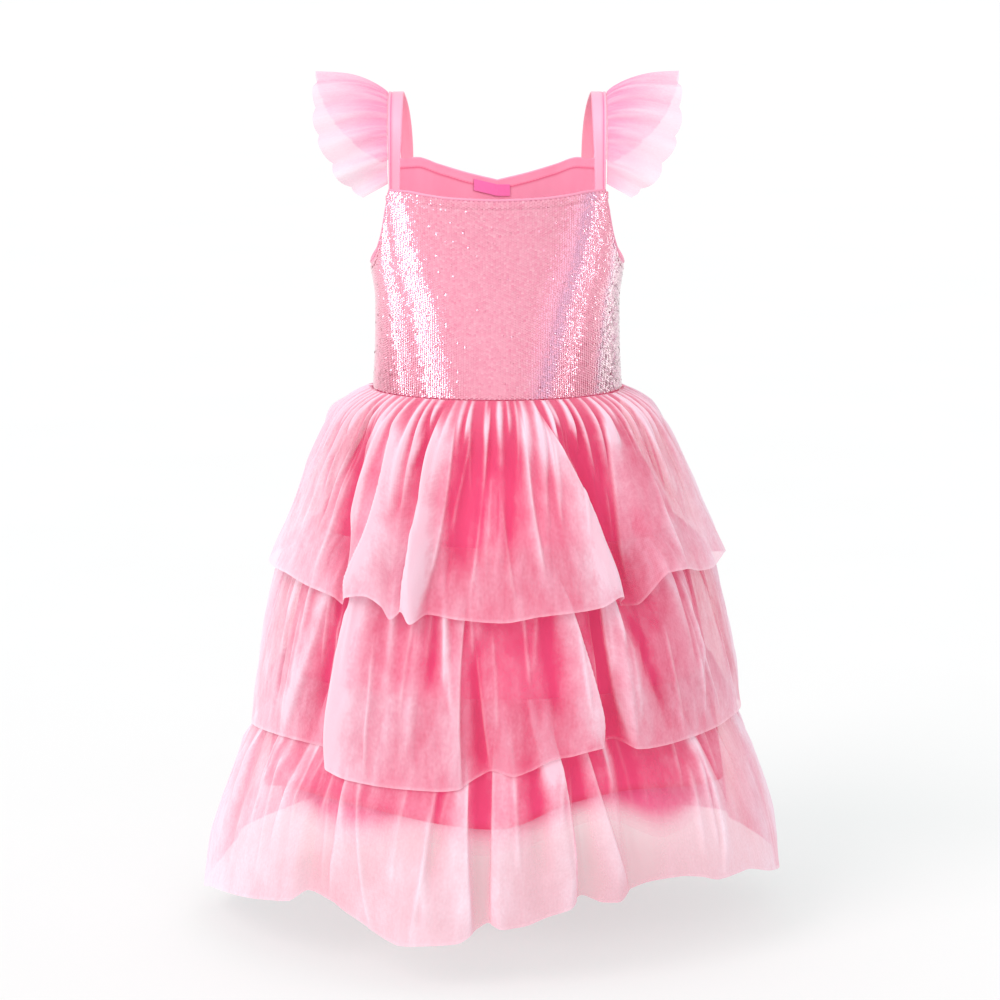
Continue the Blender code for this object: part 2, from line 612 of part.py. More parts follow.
def skirt():
    """Lining, the net petticoat inside it and the three tiers, each kept under the one above."""
    waist = bodice_point(90.0, WAIST_HEIGHT, 0.0).x
    waist_front = -bodice_point(0.0, WAIST_HEIGHT, 0.0).y
    waist_out = GATHER_SECTIONS[0].depth * (1.0 + GATHER_UNEVENNESS) - 0.1 * MM
    waist_seam = Section(WAIST_HEIGHT - SEAM_GAP, waist + waist_out, waist_front + waist_out)
    tier_1 = gathered_tier(
        "tier_1", waist_seam, TIER_1_HEM, TIER_1_GATHERS, TIER_1_ROWS, TIER_1_SHAPE, TIER_1_FOLDS
    )
    tier_2 = gathered_tier(
        "tier_2", seam_on_lining(TIER_2_SEAM_HEIGHT), TIER_2_HEM, TIER_2_GATHERS, TIER_2_ROWS,
        TIER_2_SHAPE, TIER_2_FOLDS,
    )
    tier_3 = gathered_tier(
        "tier_3", seam_on_lining(TIER_3_SEAM_HEIGHT), TIER_3_HEM, TIER_3_GATHERS, TIER_3_ROWS,
        TIER_3_SHAPE, TIER_3_FOLDS,
    )
    for tier, above in ((tier_1, None), (tier_2, tier_1), (tier_3, tier_2)):
        outer, inner = layer_points(tier, above)
        add_wall(tier.name, outer, inner, True, "tulle")
    outer, inner = layer_points(LINING, None)
    add_wall(LINING.name, outer, inner, True, "lining")
    petticoat_height = lerp(LINING.seam.height, LINING.hem_height, PETTICOAT_SEAM_SHARE)
    flare = curve_value(LINING.shape, PETTICOAT_SEAM_SHARE)
    petticoat_seam = Section(
        petticoat_height,
        lerp(LINING.seam.half_width, LINING.hem_half_width, flare) - PETTICOAT_SEAM_INSET,
        lerp(LINING.seam.half_depth, LINING.hem_half_depth, flare) - PETTICOAT_SEAM_INSET,
    )
    petticoat = Layer(
        "petticoat", petticoat_seam, PETTICOAT_HEM.height, PETTICOAT_HEM.half_width,
        PETTICOAT_HEM.half_depth, LINING_WALL, 0, LINING.columns, PETTICOAT_ROWS,
        (Shape(0.0, 0.0), Shape(1.0, 1.0)), PETTICOAT_FOLDS, 0.0,
    )
    outer, inner = layer_points(petticoat, LINING)
    add_wall(petticoat.name, outer, inner, True, "tulle")


def main():
    """Build the dress and group its pieces under one empty."""
    for thing in list(bpy.data.objects):
        bpy.data.objects.remove(thing, do_unlink=True)
    bodice()
    for name, side in (("left", -1.0), ("right", 1.0)):
        strap("strap_" + name, side)
        sleeve_ruffle("sleeve_ruffle_" + name, side)
    neck_label()
    skirt()
    dress = bpy.data.objects.new("dress", None)
    bpy.context.collection.objects.link(dress)
    for thing in bpy.data.objects:
        if thing.type == "MESH":
            thing.parent = dress


main()
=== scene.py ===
"""Looks of the girl's party dress: sequinned bodice, satin straps, flutter sleeves, tulle tiers.

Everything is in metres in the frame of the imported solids: front towards -Y, origin midway between
the tops of the straps. Angles round the dress are in degrees, 0 at the centre front and 90 at the
side at +X. Left and right are as seen from the front.
"""
import math
import random
from bisect import bisect_left
from collections import namedtuple

import bpy
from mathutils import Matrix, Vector, noise


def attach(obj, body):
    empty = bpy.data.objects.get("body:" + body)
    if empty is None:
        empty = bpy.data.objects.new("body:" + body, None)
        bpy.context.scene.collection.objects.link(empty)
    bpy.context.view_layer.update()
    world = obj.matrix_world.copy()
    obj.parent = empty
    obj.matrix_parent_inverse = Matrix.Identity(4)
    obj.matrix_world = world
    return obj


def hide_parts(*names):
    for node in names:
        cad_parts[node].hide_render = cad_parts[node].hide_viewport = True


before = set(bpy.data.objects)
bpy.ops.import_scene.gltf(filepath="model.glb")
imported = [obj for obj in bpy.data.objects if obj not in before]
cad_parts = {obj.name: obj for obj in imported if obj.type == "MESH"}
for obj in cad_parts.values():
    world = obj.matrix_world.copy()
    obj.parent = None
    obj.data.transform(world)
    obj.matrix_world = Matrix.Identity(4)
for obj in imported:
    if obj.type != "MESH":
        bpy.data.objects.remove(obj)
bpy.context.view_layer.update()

bpy.ops.object.select_all(action="DESELECT")

MM = 0.001
BODY = "root"


def named_rows(kind, rows):
    """A table's plain rows as rows with named columns."""
    return tuple(kind(*row) for row in rows)


# Heights and walls, as in the solids
WAIST_HEIGHT = -0.272
FRONT_NECK_CORNER_HEIGHT = -0.0855
BACK_NECK_CORNER_HEIGHT = -0.0655
UNDERARM_HEIGHT = -0.156
TIER_2_SEAM_HEIGHT = -0.398
TIER_3_SEAM_HEIGHT = -0.530
SEAM_GAP = 0.3 * MM
BODICE_WALL = 2.0 * MM
STRAP_WALL = 1.6 * MM
LINING_WALL = 1.6 * MM
TULLE_WALL = 1.8 * MM
SLEEVE_WALL = 1.3 * MM

Section = namedtuple("Section", "height half_width half_depth")
EdgePoint = namedtuple("EdgePoint", "angle height")
BODICE_SECTIONS = named_rows(Section, (
    (-0.272, 0.1157, 0.0820), (-0.230, 0.1135, 0.0825), (-0.191, 0.1130, 0.0838),
    (-0.156, 0.1168, 0.0842), (-0.120, 0.1172, 0.0832), (-0.085, 0.1166, 0.0805),
    (-0.060, 0.1160, 0.0785),
))
FRONT_NECK = named_rows(EdgePoint, (
    (0.0, -0.0915), (20.0, -0.0903), (35.0, -0.0877), (46.0, FRONT_NECK_CORNER_HEIGHT),
    (58.5, FRONT_NECK_CORNER_HEIGHT),
))
FRONT_ARMHOLE = named_rows(EdgePoint, (
    (58.5, FRONT_NECK_CORNER_HEIGHT), (60.5, -0.106), (65.5, -0.130), (75.0, -0.148),
    (90.0, UNDERARM_HEIGHT),
))
BACK_NECK = named_rows(EdgePoint, (
    (0.0, -0.0885), (14.0, -0.0815), (28.0, -0.0730), (41.0, BACK_NECK_CORNER_HEIGHT),
    (53.0, BACK_NECK_CORNER_HEIGHT),
))
BACK_ARMHOLE = named_rows(EdgePoint, (
    (53.0, BACK_NECK_CORNER_HEIGHT), (55.5, -0.092), (62.0, -0.122), (73.0, -0.146),
    (90.0, UNDERARM_HEIGHT),
))

# Straps and flutter sleeves
STRAP_WIDTH = 0.014
STRAP_FRONT_ANGLE = 53.5
STRAP_BACK_ANGLE = 47.0
STRAP_TOP_X = 0.0925
STRAP_TOP_Y = 0.004
ARCH_FULLNESS = 1.6
SLEEVE_START = 0.02
SLEEVE_END = 0.98
SLEEVE_COLUMNS = 360
SLEEVE_ROWS = 44
Flutter = namedtuple("Flutter", "along length rise turn")
SLEEVE_SHAPE = named_rows(Flutter, (
    (0.00, 0.018, -28.0, 12.0), (0.08, 0.041, -24.0, 14.0), (0.18, 0.057, -15.0, 14.0),
    (0.29, 0.066, -7.0, 10.0), (0.40, 0.067, 5.0, 5.0), (0.50, 0.067, 15.0, 0.0),
    (0.60, 0.066, 6.0, -5.0), (0.72, 0.060, -6.0, -10.0), (0.84, 0.046, -14.0, -14.0),
    (1.00, 0.014, -25.0, -12.0),
))
SLEEVE_CROWN = 7.0 * MM
SLEEVE_WAVES = 10
SLEEVE_ROOT_WAVE = 0.7 * MM
SLEEVE_EDGE_WAVES = (4.0 * MM, 2.2 * MM)
SLEEVE_SCALLOPS = (0.085, 0.025)
SLEEVE_PLEAT = 1.5 * MM

# Skirt layers: a share runs from 0 at the seam to 1 at the hem, a flare from seam size to hem size
Shape = namedtuple("Shape", "share flare")
Depth = namedtuple("Depth", "share depth")
GATHER_DEPTHS = named_rows(Depth, (
    (0.00, 1.3 * MM), (0.12, 2.6 * MM), (0.35, 1.9 * MM), (0.70, 1.0 * MM), (1.00, 0.6 * MM),
))
GATHER_UNEVENNESS = 0.35
FOLD_ONSET = 0.75
LINING_FOLD_ONSET = 0.74
LINING_CLOTH = 0.8 * MM

# A fold's angle is where it meets the hem; lean is how far round its root lies from there
Fold = namedtuple("Fold", "angle lean out drop")
TIER_1_FOLDS = named_rows(Fold, (
    (-90, 0, 1, -4), (-67, -1, 0, -6), (-57, -4, -1, -1), (-45, -8, -3, 6), (-42, -10, -5, 12),
    (-38, -12, 6, 2), (-33, -10, 6, -1), (-28, -9, 8, 6), (-25.5, -7, 9, 17), (-23, -4, 2, 10),
    (-20, -1, 12, 19), (-17, 0, 0, 12), (-9, 0, 4, 15), (1, 0, 6, 17), (10, -2, 6, 12),
    (20, -5, 6, 9), (25, -7, 7, 6), (30, -9, 6, -2), (34, -8.5, -12, 12), (39, -8, -12, 13),
    (43.5, -6, -9, 0), (47, -5, 0, -16), (52, -3, 3, -17), (60, 0, 0, -11), (68, 0, 0, -9),
    (78, 0, 2, -18), (90, 0, 0, -10), (104, 0, 4, -2), (115, 0, -10, 4), (124, -2, 4, 8),
    (140, -3, 8, 14), (157, -4, 6, 8), (163, -4, -10, 12), (171, -2, 6, 16), (189, 0, 8, 18),
    (203, 3, 5, 12), (208, 4, -10, 6), (217, 5, 4, 6), (236, 3, 6, 2), (246, 2, -9, 0),
    (256, 0, 2, -4),
))
TIER_2_FOLDS = named_rows(Fold, (
    (-90, 0, 2, 9), (-80, 0, 0, 4), (-57, 0, -4, -3), (-46, 0, -9, -2), (-43, 0, -8, 0),
    (-39, 0, 10, 12), (-34, 0, 10, 18), (-21, 0, 9, 21), (-13, 0, 8, 21), (-9, 0, 6, 19),
    (-4, 0, 1, 8), (-1, 0, -1, 3), (3.5, 0, 5, 7), (7, 0, 4, 3), (12.5, 0, 3, -7), (16, 0, 4, -9),
    (23, 0, 5, -15), (26, 0, -11, -16), (29, 0, -12, -17), (32, 0, 6, -11), (38, 0, 4, -9),
    (48, 0, 2, -10), (59, 0, 0, -11), (69, 0, 0, -13), (80, 0, 0, -14), (90, 0, -2, -12),
    (104, 0, 4, 0), (117, 0, -10, 4), (126, 0, 6, 10), (146, 0, 8, 14), (159, 0, 5, 10),
    (165, 0, -11, 8), (173, 0, 6, 14), (196, 0, 8, 18), (209, 0, 4, 12), (215, 0, -11, 8),
    (223, 0, 5, 12), (242, 0, 6, 6), (252, 0, -7, 4), (260, 0, 2, 7),
))
TIER_3_FOLDS = named_rows(Fold, (
    (-90, 0, 8, 33), (-75, 0, 4, 18), (-60, 0, 0, 9), (-49, 0, 0, 1), (-43.5, 0, 0, -4),
    (-40.5, 0, -11, -14), (-34, 0, -5, -11), (-29.5, 0, 2, -5), (-25, 0, 6, 3), (-20.5, 0, 10, 13),
    (-17.5, 0, 12, 17), (-12, 0, 12, 15), (-7.5, 0, 8, 13), (-3.5, 0, 0, 1), (-1.5, 0, -4, -3),
    (1, 0, 5, 0), (5, 0, 4, -2), (9, 0, 0, -8), (13.5, 0, -1, -15), (16.5, 0, -12, -23),
    (20.5, 0, -5, -17), (23.5, 0, -3, -16), (27.5, 0, -13, -24), (32, 0, -12, -28),
    (38.5, 0, -8, -29), (43, 0, -4, -26), (48, 0, 0, -20), (56, 0, 0, -20), (66, 0, 3, -9),
    (77, 0, -1, 2), (90, 0, -8, 13), (104, 0, 0, 12), (118, 0, -10, 2), (126, 0, 6, 4),
    (146, 0, 10, 12), (159, 0, 4, 2), (165, 0, -11, -6), (173, 0, 6, 4), (195, 0, 10, 12),
    (208, 0, 2, 2), (215, 0, -11, -6), (223, 0, 6, 2), (242, 0, 8, 10), (254, 0, -6, 12),
    (262, 0, 2, 26),
))
LINING_FOLDS = named_rows(Fold, (
    (-90, 0, 4, 20), (-57, 0, 0, 1), (-40, 0, -2, 2), (0, 0, 0, 15), (19, 0, -6, -6),
    (33, 0, -7, -11), (61, 0, 0, -1), (90, 0, -3, 10), (112, 0, -5, 10), (132, 0, 1, -3),
    (160, 0, -4, 8), (184, 0, 2, 0), (212, 0, -5, 10), (232, 0, 1, -2), (252, 0, -4, 8),
))
PETTICOAT_FOLDS = named_rows(Fold, (
    (-90, 0, 0, 16), (-66, 0, -5, 2), (-40, 0, 3, 12), (-20, 0, -4, 0), (-4, 0, 3, 10),
    (28, 0, -6, -16), (48, 0, 2, 9), (72, 0, -2, 2), (90, 0, 0, 20), (112, 0, -6, 0),
    (138, 0, 3, 12), (160, 0, -5, -4), (184, 0, 3, 10), (208, 0, -6, -6), (232, 0, 3, 10),
    (252, 0, -4, 4),
))
LINING_SHAPE = named_rows(Shape, (
    (0.0, 0.0), (0.04, 0.004), (0.361, 0.515), (0.721, 0.82), (1.0, 1.0),
))
TIER_1_SHAPE = named_rows(Shape, (
    (0.00, 0.00), (0.04, 0.13), (0.11, 0.27), (0.22, 0.40), (0.38, 0.54), (0.53, 0.65),
    (0.73, 0.79), (0.89, 0.92), (1.00, 1.00),
))
TIER_2_SHAPE = named_rows(Shape, (
    (0.00, 0.00), (0.10, 0.27), (0.28, 0.52), (0.53, 0.73), (0.77, 0.89), (1.00, 1.00),
))
TIER_3_SHAPE = named_rows(Shape, (
    (0.00, 0.00), (0.15, 0.20), (0.32, 0.43), (0.43, 0.57), (0.66, 0.80), (0.85, 0.93),
    (1.00, 1.00),
))
Layer = namedtuple("Layer", "name seam hem shape folds gathers onset columns rows pale")
LINING_SEAM = Section(-0.266, 0.1129, 0.0792)
LINING_HEM = Section(-0.632, 0.2175, 0.1780)
PETTICOAT_SEAM_SHARE = 0.80
PETTICOAT_SEAM_INSET = LINING_WALL + 2.8 * MM
PETTICOAT_HEM = Section(-0.664, 0.2060, 0.1680)
TIER_1_HEM = Section(-0.440, 0.2140, 0.1720)
TIER_2_HEM = Section(-0.585, 0.2320, 0.1950)
TIER_3_HEM = Section(-0.720, 0.2735, 0.2350)
TIER_COLUMNS = 1200
TIER_ROWS = 66

# A crease is a ridge, or a groove where its rise is below 0, that runs from one share of the
# tier's length to another through three angles. Left and right are the widths of its sides in
# degrees, and roll moves its crest round, so that a crisp edge laps over the recess beside it.
# Rise and roll are in millimetres.
Crease = namedtuple("Crease", "first last top middle foot rise left right roll")
TIER_1_CREASES = named_rows(Crease, (
    (0.00, 1.05, -58.0, -50.0, -45.5, -6.0, 4.0, 3.5, 0.0),
    (0.00, 0.80, -44.7, -43.2, -42.5, 3.5, 2.5, 1.8, 0.0),
    (0.00, 1.10, -40.8, -35.8, -41.4, 5.0, 0.6, 5.0, -2.5),
    (0.00, 0.62, -27.9, -21.8, -23.4, -4.5, 1.4, 0.7, 0.0),
    (0.00, 1.15, -21.8, -21.9, -23.1, 8.5, 0.5, 3.2, -3.0),
    (0.00, 1.10, -16.2, -15.7, -19.5, 3.5, 2.5, 0.7, 1.5),
    (0.12, 0.65, -7.6, -12.0, -16.0, 2.8, 0.6, 0.7, 0.0),
    (0.12, 0.85, -7.6, -9.6, -11.0, -6.0, 2.8, 2.6, 0.0),
    (0.00, 0.55, -3.0, -4.8, -6.6, 3.8, 0.8, 0.7, 0.8),
    (0.12, 0.80, -2.0, -4.6, -7.4, -5.0, 1.6, 1.5, 0.0),
    (0.45, 0.90, -2.8, -4.7, -7.0, 2.6, 0.5, 0.5, 0.0),
    (0.00, 0.35, 0.7, 1.8, 2.8, 2.6, 1.3, 1.2, 0.0),
    (0.12, 0.80, 4.7, 3.6, 2.2, -4.6, 1.6, 1.8, 0.0),
    (0.00, 0.90, 8.5, 9.8, 13.4, 4.4, 1.3, 0.8, 1.0),
    (0.00, 1.15, 15.0, 25.3, 31.0, 6.5, 7.0, 0.55, 3.2),
    (0.06, 1.15, 18.6, 29.4, 35.5, -9.0, 1.6, 4.6, 0.0),
    (0.00, 0.18, 20.3, 19.6, 19.0, 2.2, 0.7, 0.7, 0.0),
    (0.00, 0.18, 28.3, 23.5, 19.0, 2.2, 0.7, 0.7, 0.0),
    (0.02, 0.80, 32.0, 28.9, 32.0, -4.0, 1.6, 1.8, 0.0),
    (0.04, 1.00, 43.5, 38.7, 38.8, 5.4, 0.6, 5.0, -2.2),
    (0.00, 0.75, 56.6, 61.0, 80.0, -3.2, 3.0, 2.4, 0.0),
    (0.05, 1.10, 96.0, 99.0, 103.0, 5.0, 5.0, 0.7, 2.4),
    (0.10, 1.05, 100.5, 104.0, 109.0, -4.6, 1.6, 3.5, 0.0),
    (0.00, 0.70, 118.0, 121.0, 122.0, 3.2, 1.2, 0.7, 0.0),
    (0.00, 1.10, 141.0, 146.0, 152.0, 5.6, 6.0, 0.6, 2.8),
    (0.08, 0.85, 144.5, 150.0, 156.0, -4.8, 1.8, 2.8, 0.0),
    (0.00, 0.55, 160.0, 158.5, 157.0, 3.2, 0.8, 0.7, 0.0),
    (0.00, 1.10, 176.0, 172.0, 169.0, 6.0, 0.6, 4.0, -2.6),
    (0.10, 0.80, 181.0, 183.0, 184.0, -4.6, 1.8, 2.0, 0.0),
    (0.00, 1.10, 192.0, 197.0, 201.0, 5.4, 4.5, 0.6, 2.4),
    (0.04, 0.60, 204.0, 208.0, 210.0, 3.0, 0.8, 0.7, 0.0),
    (0.10, 1.00, 216.0, 221.0, 224.0, -4.6, 2.6, 1.8, 0.0),
    (0.00, 1.10, 222.0, 226.0, 229.0, 5.6, 0.6, 5.0, -2.6),
    (0.00, 0.75, 245.0, 243.0, 240.0, 3.2, 1.4, 1.0, 0.0),
    (0.05, 0.90, 255.0, 257.0, 260.0, -4.0, 3.0, 2.6, 0.0),
))
TIER_2_CREASES = named_rows(Crease, (
    (0.00, 1.10, -48.5, -52.5, -60.0, 4.5, 5.0, 1.2, 1.0),
    (0.05, 1.00, -44.5, -46.5, -49.0, -4.5, 2.4, 2.4, 0.0),
    (0.00, 1.15, -38.8, -40.2, -41.8, 6.5, 0.5, 6.0, -3.0),
    (0.40, 1.00, -31.6, -30.6, -29.5, 1.8, 0.4, 0.4, 0.0),
    (0.20, 0.95, -19.5, -19.6, -19.8, 2.8, 1.5, 1.5, 0.0),
    (0.15, 0.62, -15.5, -15.9, -16.2, -3.4, 1.2, 1.2, 0.0),
    (0.20, 0.60, -13.9, -12.4, -11.2, 2.2, 0.4, 0.4, 0.0),
    (0.10, 1.15, -7.6, -9.2, -8.0, 4.4, 3.5, 0.5, 2.5),
    (0.35, 1.05, -6.2, -4.8, -3.0, -5.6, 1.6, 1.5, 0.0),
    (0.40, 1.05, -8.0, -4.5, -1.2, 3.4, 0.5, 3.0, -0.8),
    (0.20, 0.65, 5.5, 7.2, 8.6, 2.6, 0.5, 0.5, 0.0),
    (0.20, 0.85, 11.2, 12.5, 14.4, -4.2, 1.8, 1.8, 0.0),
    (0.05, 1.10, 14.5, 20.3, 24.0, 6.2, 5.0, 0.5, 3.0),
    (0.20, 0.70, 25.5, 24.0, 21.0, 2.2, 0.6, 0.5, 0.0),
    (0.00, 1.15, 23.5, 25.2, 27.6, -9.0, 1.6, 2.0, 0.0),
    (0.00, 1.10, 28.4, 28.6, 31.4, 6.2, 0.5, 4.5, -2.6),
    (0.10, 0.95, 33.0, 38.0, 43.0, -4.6, 1.8, 1.8, 0.0),
    (0.15, 1.00, 57.2, 58.6, 64.0, 2.6, 0.6, 0.7, 0.0),
    (0.05, 0.95, 74.0, 76.0, 79.0, -4.0, 2.6, 2.4, 0.0),
    (0.00, 1.10, 95.0, 98.0, 103.0, 5.6, 5.0, 0.6, 2.6),
    (0.10, 1.05, 100.0, 105.0, 109.0, -4.6, 1.6, 2.6, 0.0),
    (0.00, 1.10, 127.0, 124.0, 122.0, 5.6, 0.6, 5.0, -2.6),
    (0.10, 0.80, 140.0, 138.0, 137.0, 2.6, 1.0, 0.8, 0.0),
    (0.05, 1.10, 150.0, 155.0, 160.0, 5.6, 4.5, 0.6, 2.6),
    (0.10, 0.90, 183.0, 181.0, 180.0, -4.8, 2.0, 1.8, 0.0),
    (0.00, 1.10, 189.0, 186.0, 185.0, 5.6, 0.6, 4.5, -2.4),
    (0.20, 0.75, 200.0, 201.0, 203.0, 2.6, 0.6, 0.6, 0.0),
    (0.00, 1.10, 207.0, 210.0, 211.0, 5.4, 4.5, 0.6, 2.4),
    (0.05, 1.10, 230.0, 226.0, 222.0, 5.4, 0.6, 4.5, -2.4),
    (0.10, 0.90, 245.0, 247.0, 250.0, -4.4, 2.4, 2.2, 0.0),
    (0.10, 0.80, 260.0, 262.0, 264.0, 2.8, 0.9, 0.7, 0.0),
))
TIER_3_CREASES = named_rows(Crease, (
    (0.10, 1.00, -72.0, -71.0, -70.0, -4.0, 3.0, 3.0, 0.0),
    (0.15, 0.85, -49.5, -50.8, -51.8, 3.2, 0.6, 2.0, -0.8),
    (0.20, 1.05, -34.9, -34.2, -34.1, 3.8, 0.5, 2.0, -1.2),
    (0.25, 1.10, -34.3, -30.0, -23.6, 3.0, 0.6, 0.6, 0.0),
    (0.20, 1.05, -14.2, -13.5, -16.0, 2.6, 0.5, 0.5, 0.0),
    (0.15, 0.85, -11.5, -12.3, -13.0, -4.2, 1.5, 1.9, 0.0),
    (0.15, 1.15, -8.0, -6.5, -5.0, 5.6, 3.0, 0.5, 2.0),
    (0.12, 1.10, -4.0, -3.5, -2.9, -4.6, 1.2, 1.2, 0.0),
    (0.12, 1.15, -0.3, -0.5, -0.7, 5.0, 0.5, 3.0, -2.0),
    (0.15, 0.80, 3.2, 3.9, 4.6, 2.6, 0.6, 0.6, 0.0),
    (0.12, 0.85, 8.0, 8.4, 9.0, -3.8, 1.6, 1.6, 0.0),
    (0.10, 1.15, 11.5, 14.4, 14.8, 6.0, 4.0, 0.5, 2.5),
    (0.12, 1.10, 16.0, 17.5, 18.2, -4.8, 1.3, 1.5, 0.0),
    (0.12, 1.10, 19.2, 21.8, 26.4, 4.8, 3.0, 0.6, 1.6),
    (0.12, 0.55, 26.4, 24.6, 20.5, 2.2, 0.6, 0.5, 0.0),
    (0.12, 1.05, 28.5, 29.8, 31.0, -4.2, 2.0, 2.4, 0.0),
    (0.15, 1.05, 48.5, 51.2, 49.4, 4.2, 0.6, 2.0, -1.4),
    (0.10, 1.00, 63.0, 62.0, 61.0, -3.6, 3.0, 2.4, 0.0),
    (0.10, 1.10, 80.0, 82.0, 85.0, 4.6, 4.0, 0.7, 2.0),
    (0.10, 1.05, 104.0, 107.0, 110.0, 5.0, 4.5, 0.6, 2.4),
    (0.12, 1.05, 109.0, 113.0, 117.0, -4.6, 1.6, 2.6, 0.0),
    (0.10, 1.10, 129.0, 127.0, 125.0, 5.2, 0.6, 4.5, -2.2),
    (0.15, 0.85, 139.0, 140.0, 141.0, 2.6, 0.6, 0.6, 0.0),
    (0.10, 1.10, 150.0, 156.0, 160.0, 5.4, 4.0, 0.6, 2.2),
    (0.12, 1.10, 179.0, 175.0, 173.0, 5.2, 0.6, 4.5, -2.2),
    (0.15, 0.90, 188.0, 187.0, 186.0, -4.2, 1.8, 1.8, 0.0),
    (0.10, 1.10, 204.0, 207.0, 209.0, 5.4, 4.5, 0.6, 2.2),
    (0.12, 1.10, 227.0, 225.0, 222.0, 5.2, 0.6, 4.5, -2.2),
    (0.10, 0.90, 240.0, 241.0, 243.0, -4.2, 2.2, 1.8, 0.0),
    (0.15, 0.90, 252.0, 255.0, 259.0, 3.0, 0.8, 0.6, 0.0),
))

# Sequins
SEQUIN_RADIUS = 1.5 * MM
SEQUIN_PITCH_ACROSS = 2.25 * MM
SEQUIN_PITCH_DOWN = 2.2 * MM
SEQUIN_LEAN = 7.0
SEQUIN_TILT = 1.5
SEQUIN_STRAYS = 0.07
SEQUIN_YAW = 13.0
SEQUIN_SIDES = 8
SEQUIN_CUP = 0.12 * MM
SEQUIN_STANDOFF = 0.55 * MM
SEQUIN_MIDDLE_HEIGHT = -0.19
SEQUIN_SIDE_ANGLE = 88.6
HEM_BAND = 12.0 * MM

# Camera, as far off as the photograph's perspective shows
CAMERA_DISTANCE = 3.0
CAMERA_ELEVATION = 11.0
CAMERA_AIM = Vector((0.0025, 0.0, -0.380))
CAMERA_LENS = 115.3


def lerp(first, last, share):
    """Value at a share of the way from the first to the last."""
    return first + (last - first) * share


def ease(share):
    """Share eased in and out, held between 0 and 1."""
    share = min(max(share, 0.0), 1.0)
    return share * share * (3.0 - 2.0 * share)


def slope_at(points, index):
    """Slope of the smooth curve at one of its points: level where the points turn back."""
    slopes = []
    for low in (index - 1, index):
        if 0 <= low < len(points) - 1:
            (x0, y0), (x1, y1) = points[low], points[low + 1]
            slopes.append((y1 - y0) / (x1 - x0))
    if len(slopes) == 1:
        return slopes[0]
    if slopes[0] * slopes[1] <= 0.0:
        return 0.0
    return 2.0 * slopes[0] * slopes[1] / (slopes[0] + slopes[1])


def hermite(start, start_slope, end, end_slope, share):
    """Cubic from start to end with the given slopes, for numbers or vectors."""
    square = share * share
    cube = square * share
    return (
        start * (2.0 * cube - 3.0 * square + 1.0)
        + start_slope * (cube - 2.0 * square + share)
        + end * (3.0 * square - 2.0 * cube)
        + end_slope * (cube - square)
    )


def curve_value(points, x):
    """Height at x of the smooth curve through the points, which never overshoots them."""
    index = 0
    while index < len(points) - 2 and x > points[index + 1][0]:
        index += 1
    (x0, y0), (x1, y1) = points[index], points[index + 1]
    width = x1 - x0
    share = min(max((x - x0) / width, 0.0), 1.0)
    start_slope = slope_at(points, index) * width
    end_slope = slope_at(points, index + 1) * width
    return hermite(y0, start_slope, y1, end_slope, share)


def column_curve(rows, key, value):
    """Two named columns of a table as the points of a curve, in rising order."""
    return sorted((getattr(row, key), getattr(row, value)) for row in rows)


HALF_WIDTHS = column_curve(BODICE_SECTIONS, "height", "half_width")
HALF_DEPTHS = column_curve(BODICE_SECTIONS, "height", "half_depth")
SLEEVE_LENGTHS = column_curve(SLEEVE_SHAPE, "along", "length")
SLEEVE_RISES = column_curve(SLEEVE_SHAPE, "along", "rise")
SLEEVE_TURNS = column_curve(SLEEVE_SHAPE, "along", "turn")


def fold_curve(folds, value):
    """One column of a fold table as a curve that runs on past both ends of the turn."""
    turn = [(fold.angle, getattr(fold, value)) for fold in folds]
    before = [(angle - 360.0, amount) for angle, amount in turn[-3:]]
    after = [(angle + 360.0, amount) for angle, amount in turn[:3]]
    return before + turn + after


def plan_point(half_width, half_depth, angle, height):
    """Point of a level oval at an angle from the centre front."""
    turn = math.radians(angle)
    return Vector((half_width * math.sin(turn), -half_depth * math.cos(turn), height))


def bodice_point(angle, height, inset):
    """Point of the bodice at a height, inset metres inside its outer face."""
    half_width = curve_value(HALF_WIDTHS, height)
    half_depth = curve_value(HALF_DEPTHS, height)
    return plan_point(half_width - inset, half_depth - inset, angle, height)


def top_edge_height(angle):
    """Height of the neck edge or armhole at an angle."""
    from_front = abs((angle + 180.0) % 360.0 - 180.0)
    if from_front <= FRONT_NECK[-1].angle:
        return curve_value(FRONT_NECK, from_front)
    if from_front <= 90.0:
        return curve_value(FRONT_ARMHOLE, from_front)
    from_back = 180.0 - from_front
    if from_back <= BACK_NECK[-1].angle:
        return curve_value(BACK_NECK, from_back)
    return curve_value(BACK_ARMHOLE, from_back)


def link_object(name, data):
    """Object of some data, in the scene."""
    item = bpy.data.objects.new(name, data)
    bpy.context.collection.objects.link(item)
    return item


def grid_cloth(name, rows, ring, marks):
    """Cloth through a grid of points, rows from top to bottom, with a UV map from 0 to 1 each way.

    Marks are named values, one for each point, that the cloth's material reads.
    """
    row_count = len(rows)
    column_count = len(rows[0])
    last = column_count if ring else column_count - 1
    faces = []
    places = []
    for row in range(row_count - 1):
        high = 1.0 - row / (row_count - 1)
        low = 1.0 - (row + 1) / (row_count - 1)
        for column in range(last):
            after = (column + 1) % column_count
            faces.append((
                row * column_count + column, (row + 1) * column_count + column,
                (row + 1) * column_count + after, row * column_count + after,
            ))
            left = column / last
            right = (column + 1) / last
            places.extend((left, high, left, low, right, low, right, high))
    mesh = bpy.data.meshes.new(name)
    mesh.from_pydata([point for row in rows for point in row], [], faces)
    mesh.uv_layers.new(name="cloth").data.foreach_set("uv", places)
    for mark, values in marks.items():
        layer = mesh.attributes.new(mark, "FLOAT", "POINT")
        layer.data.foreach_set("value", [value for row in values for value in row])
    mesh.polygons.foreach_set("use_smooth", [True] * len(mesh.polygons))
    return link_object(name, mesh)


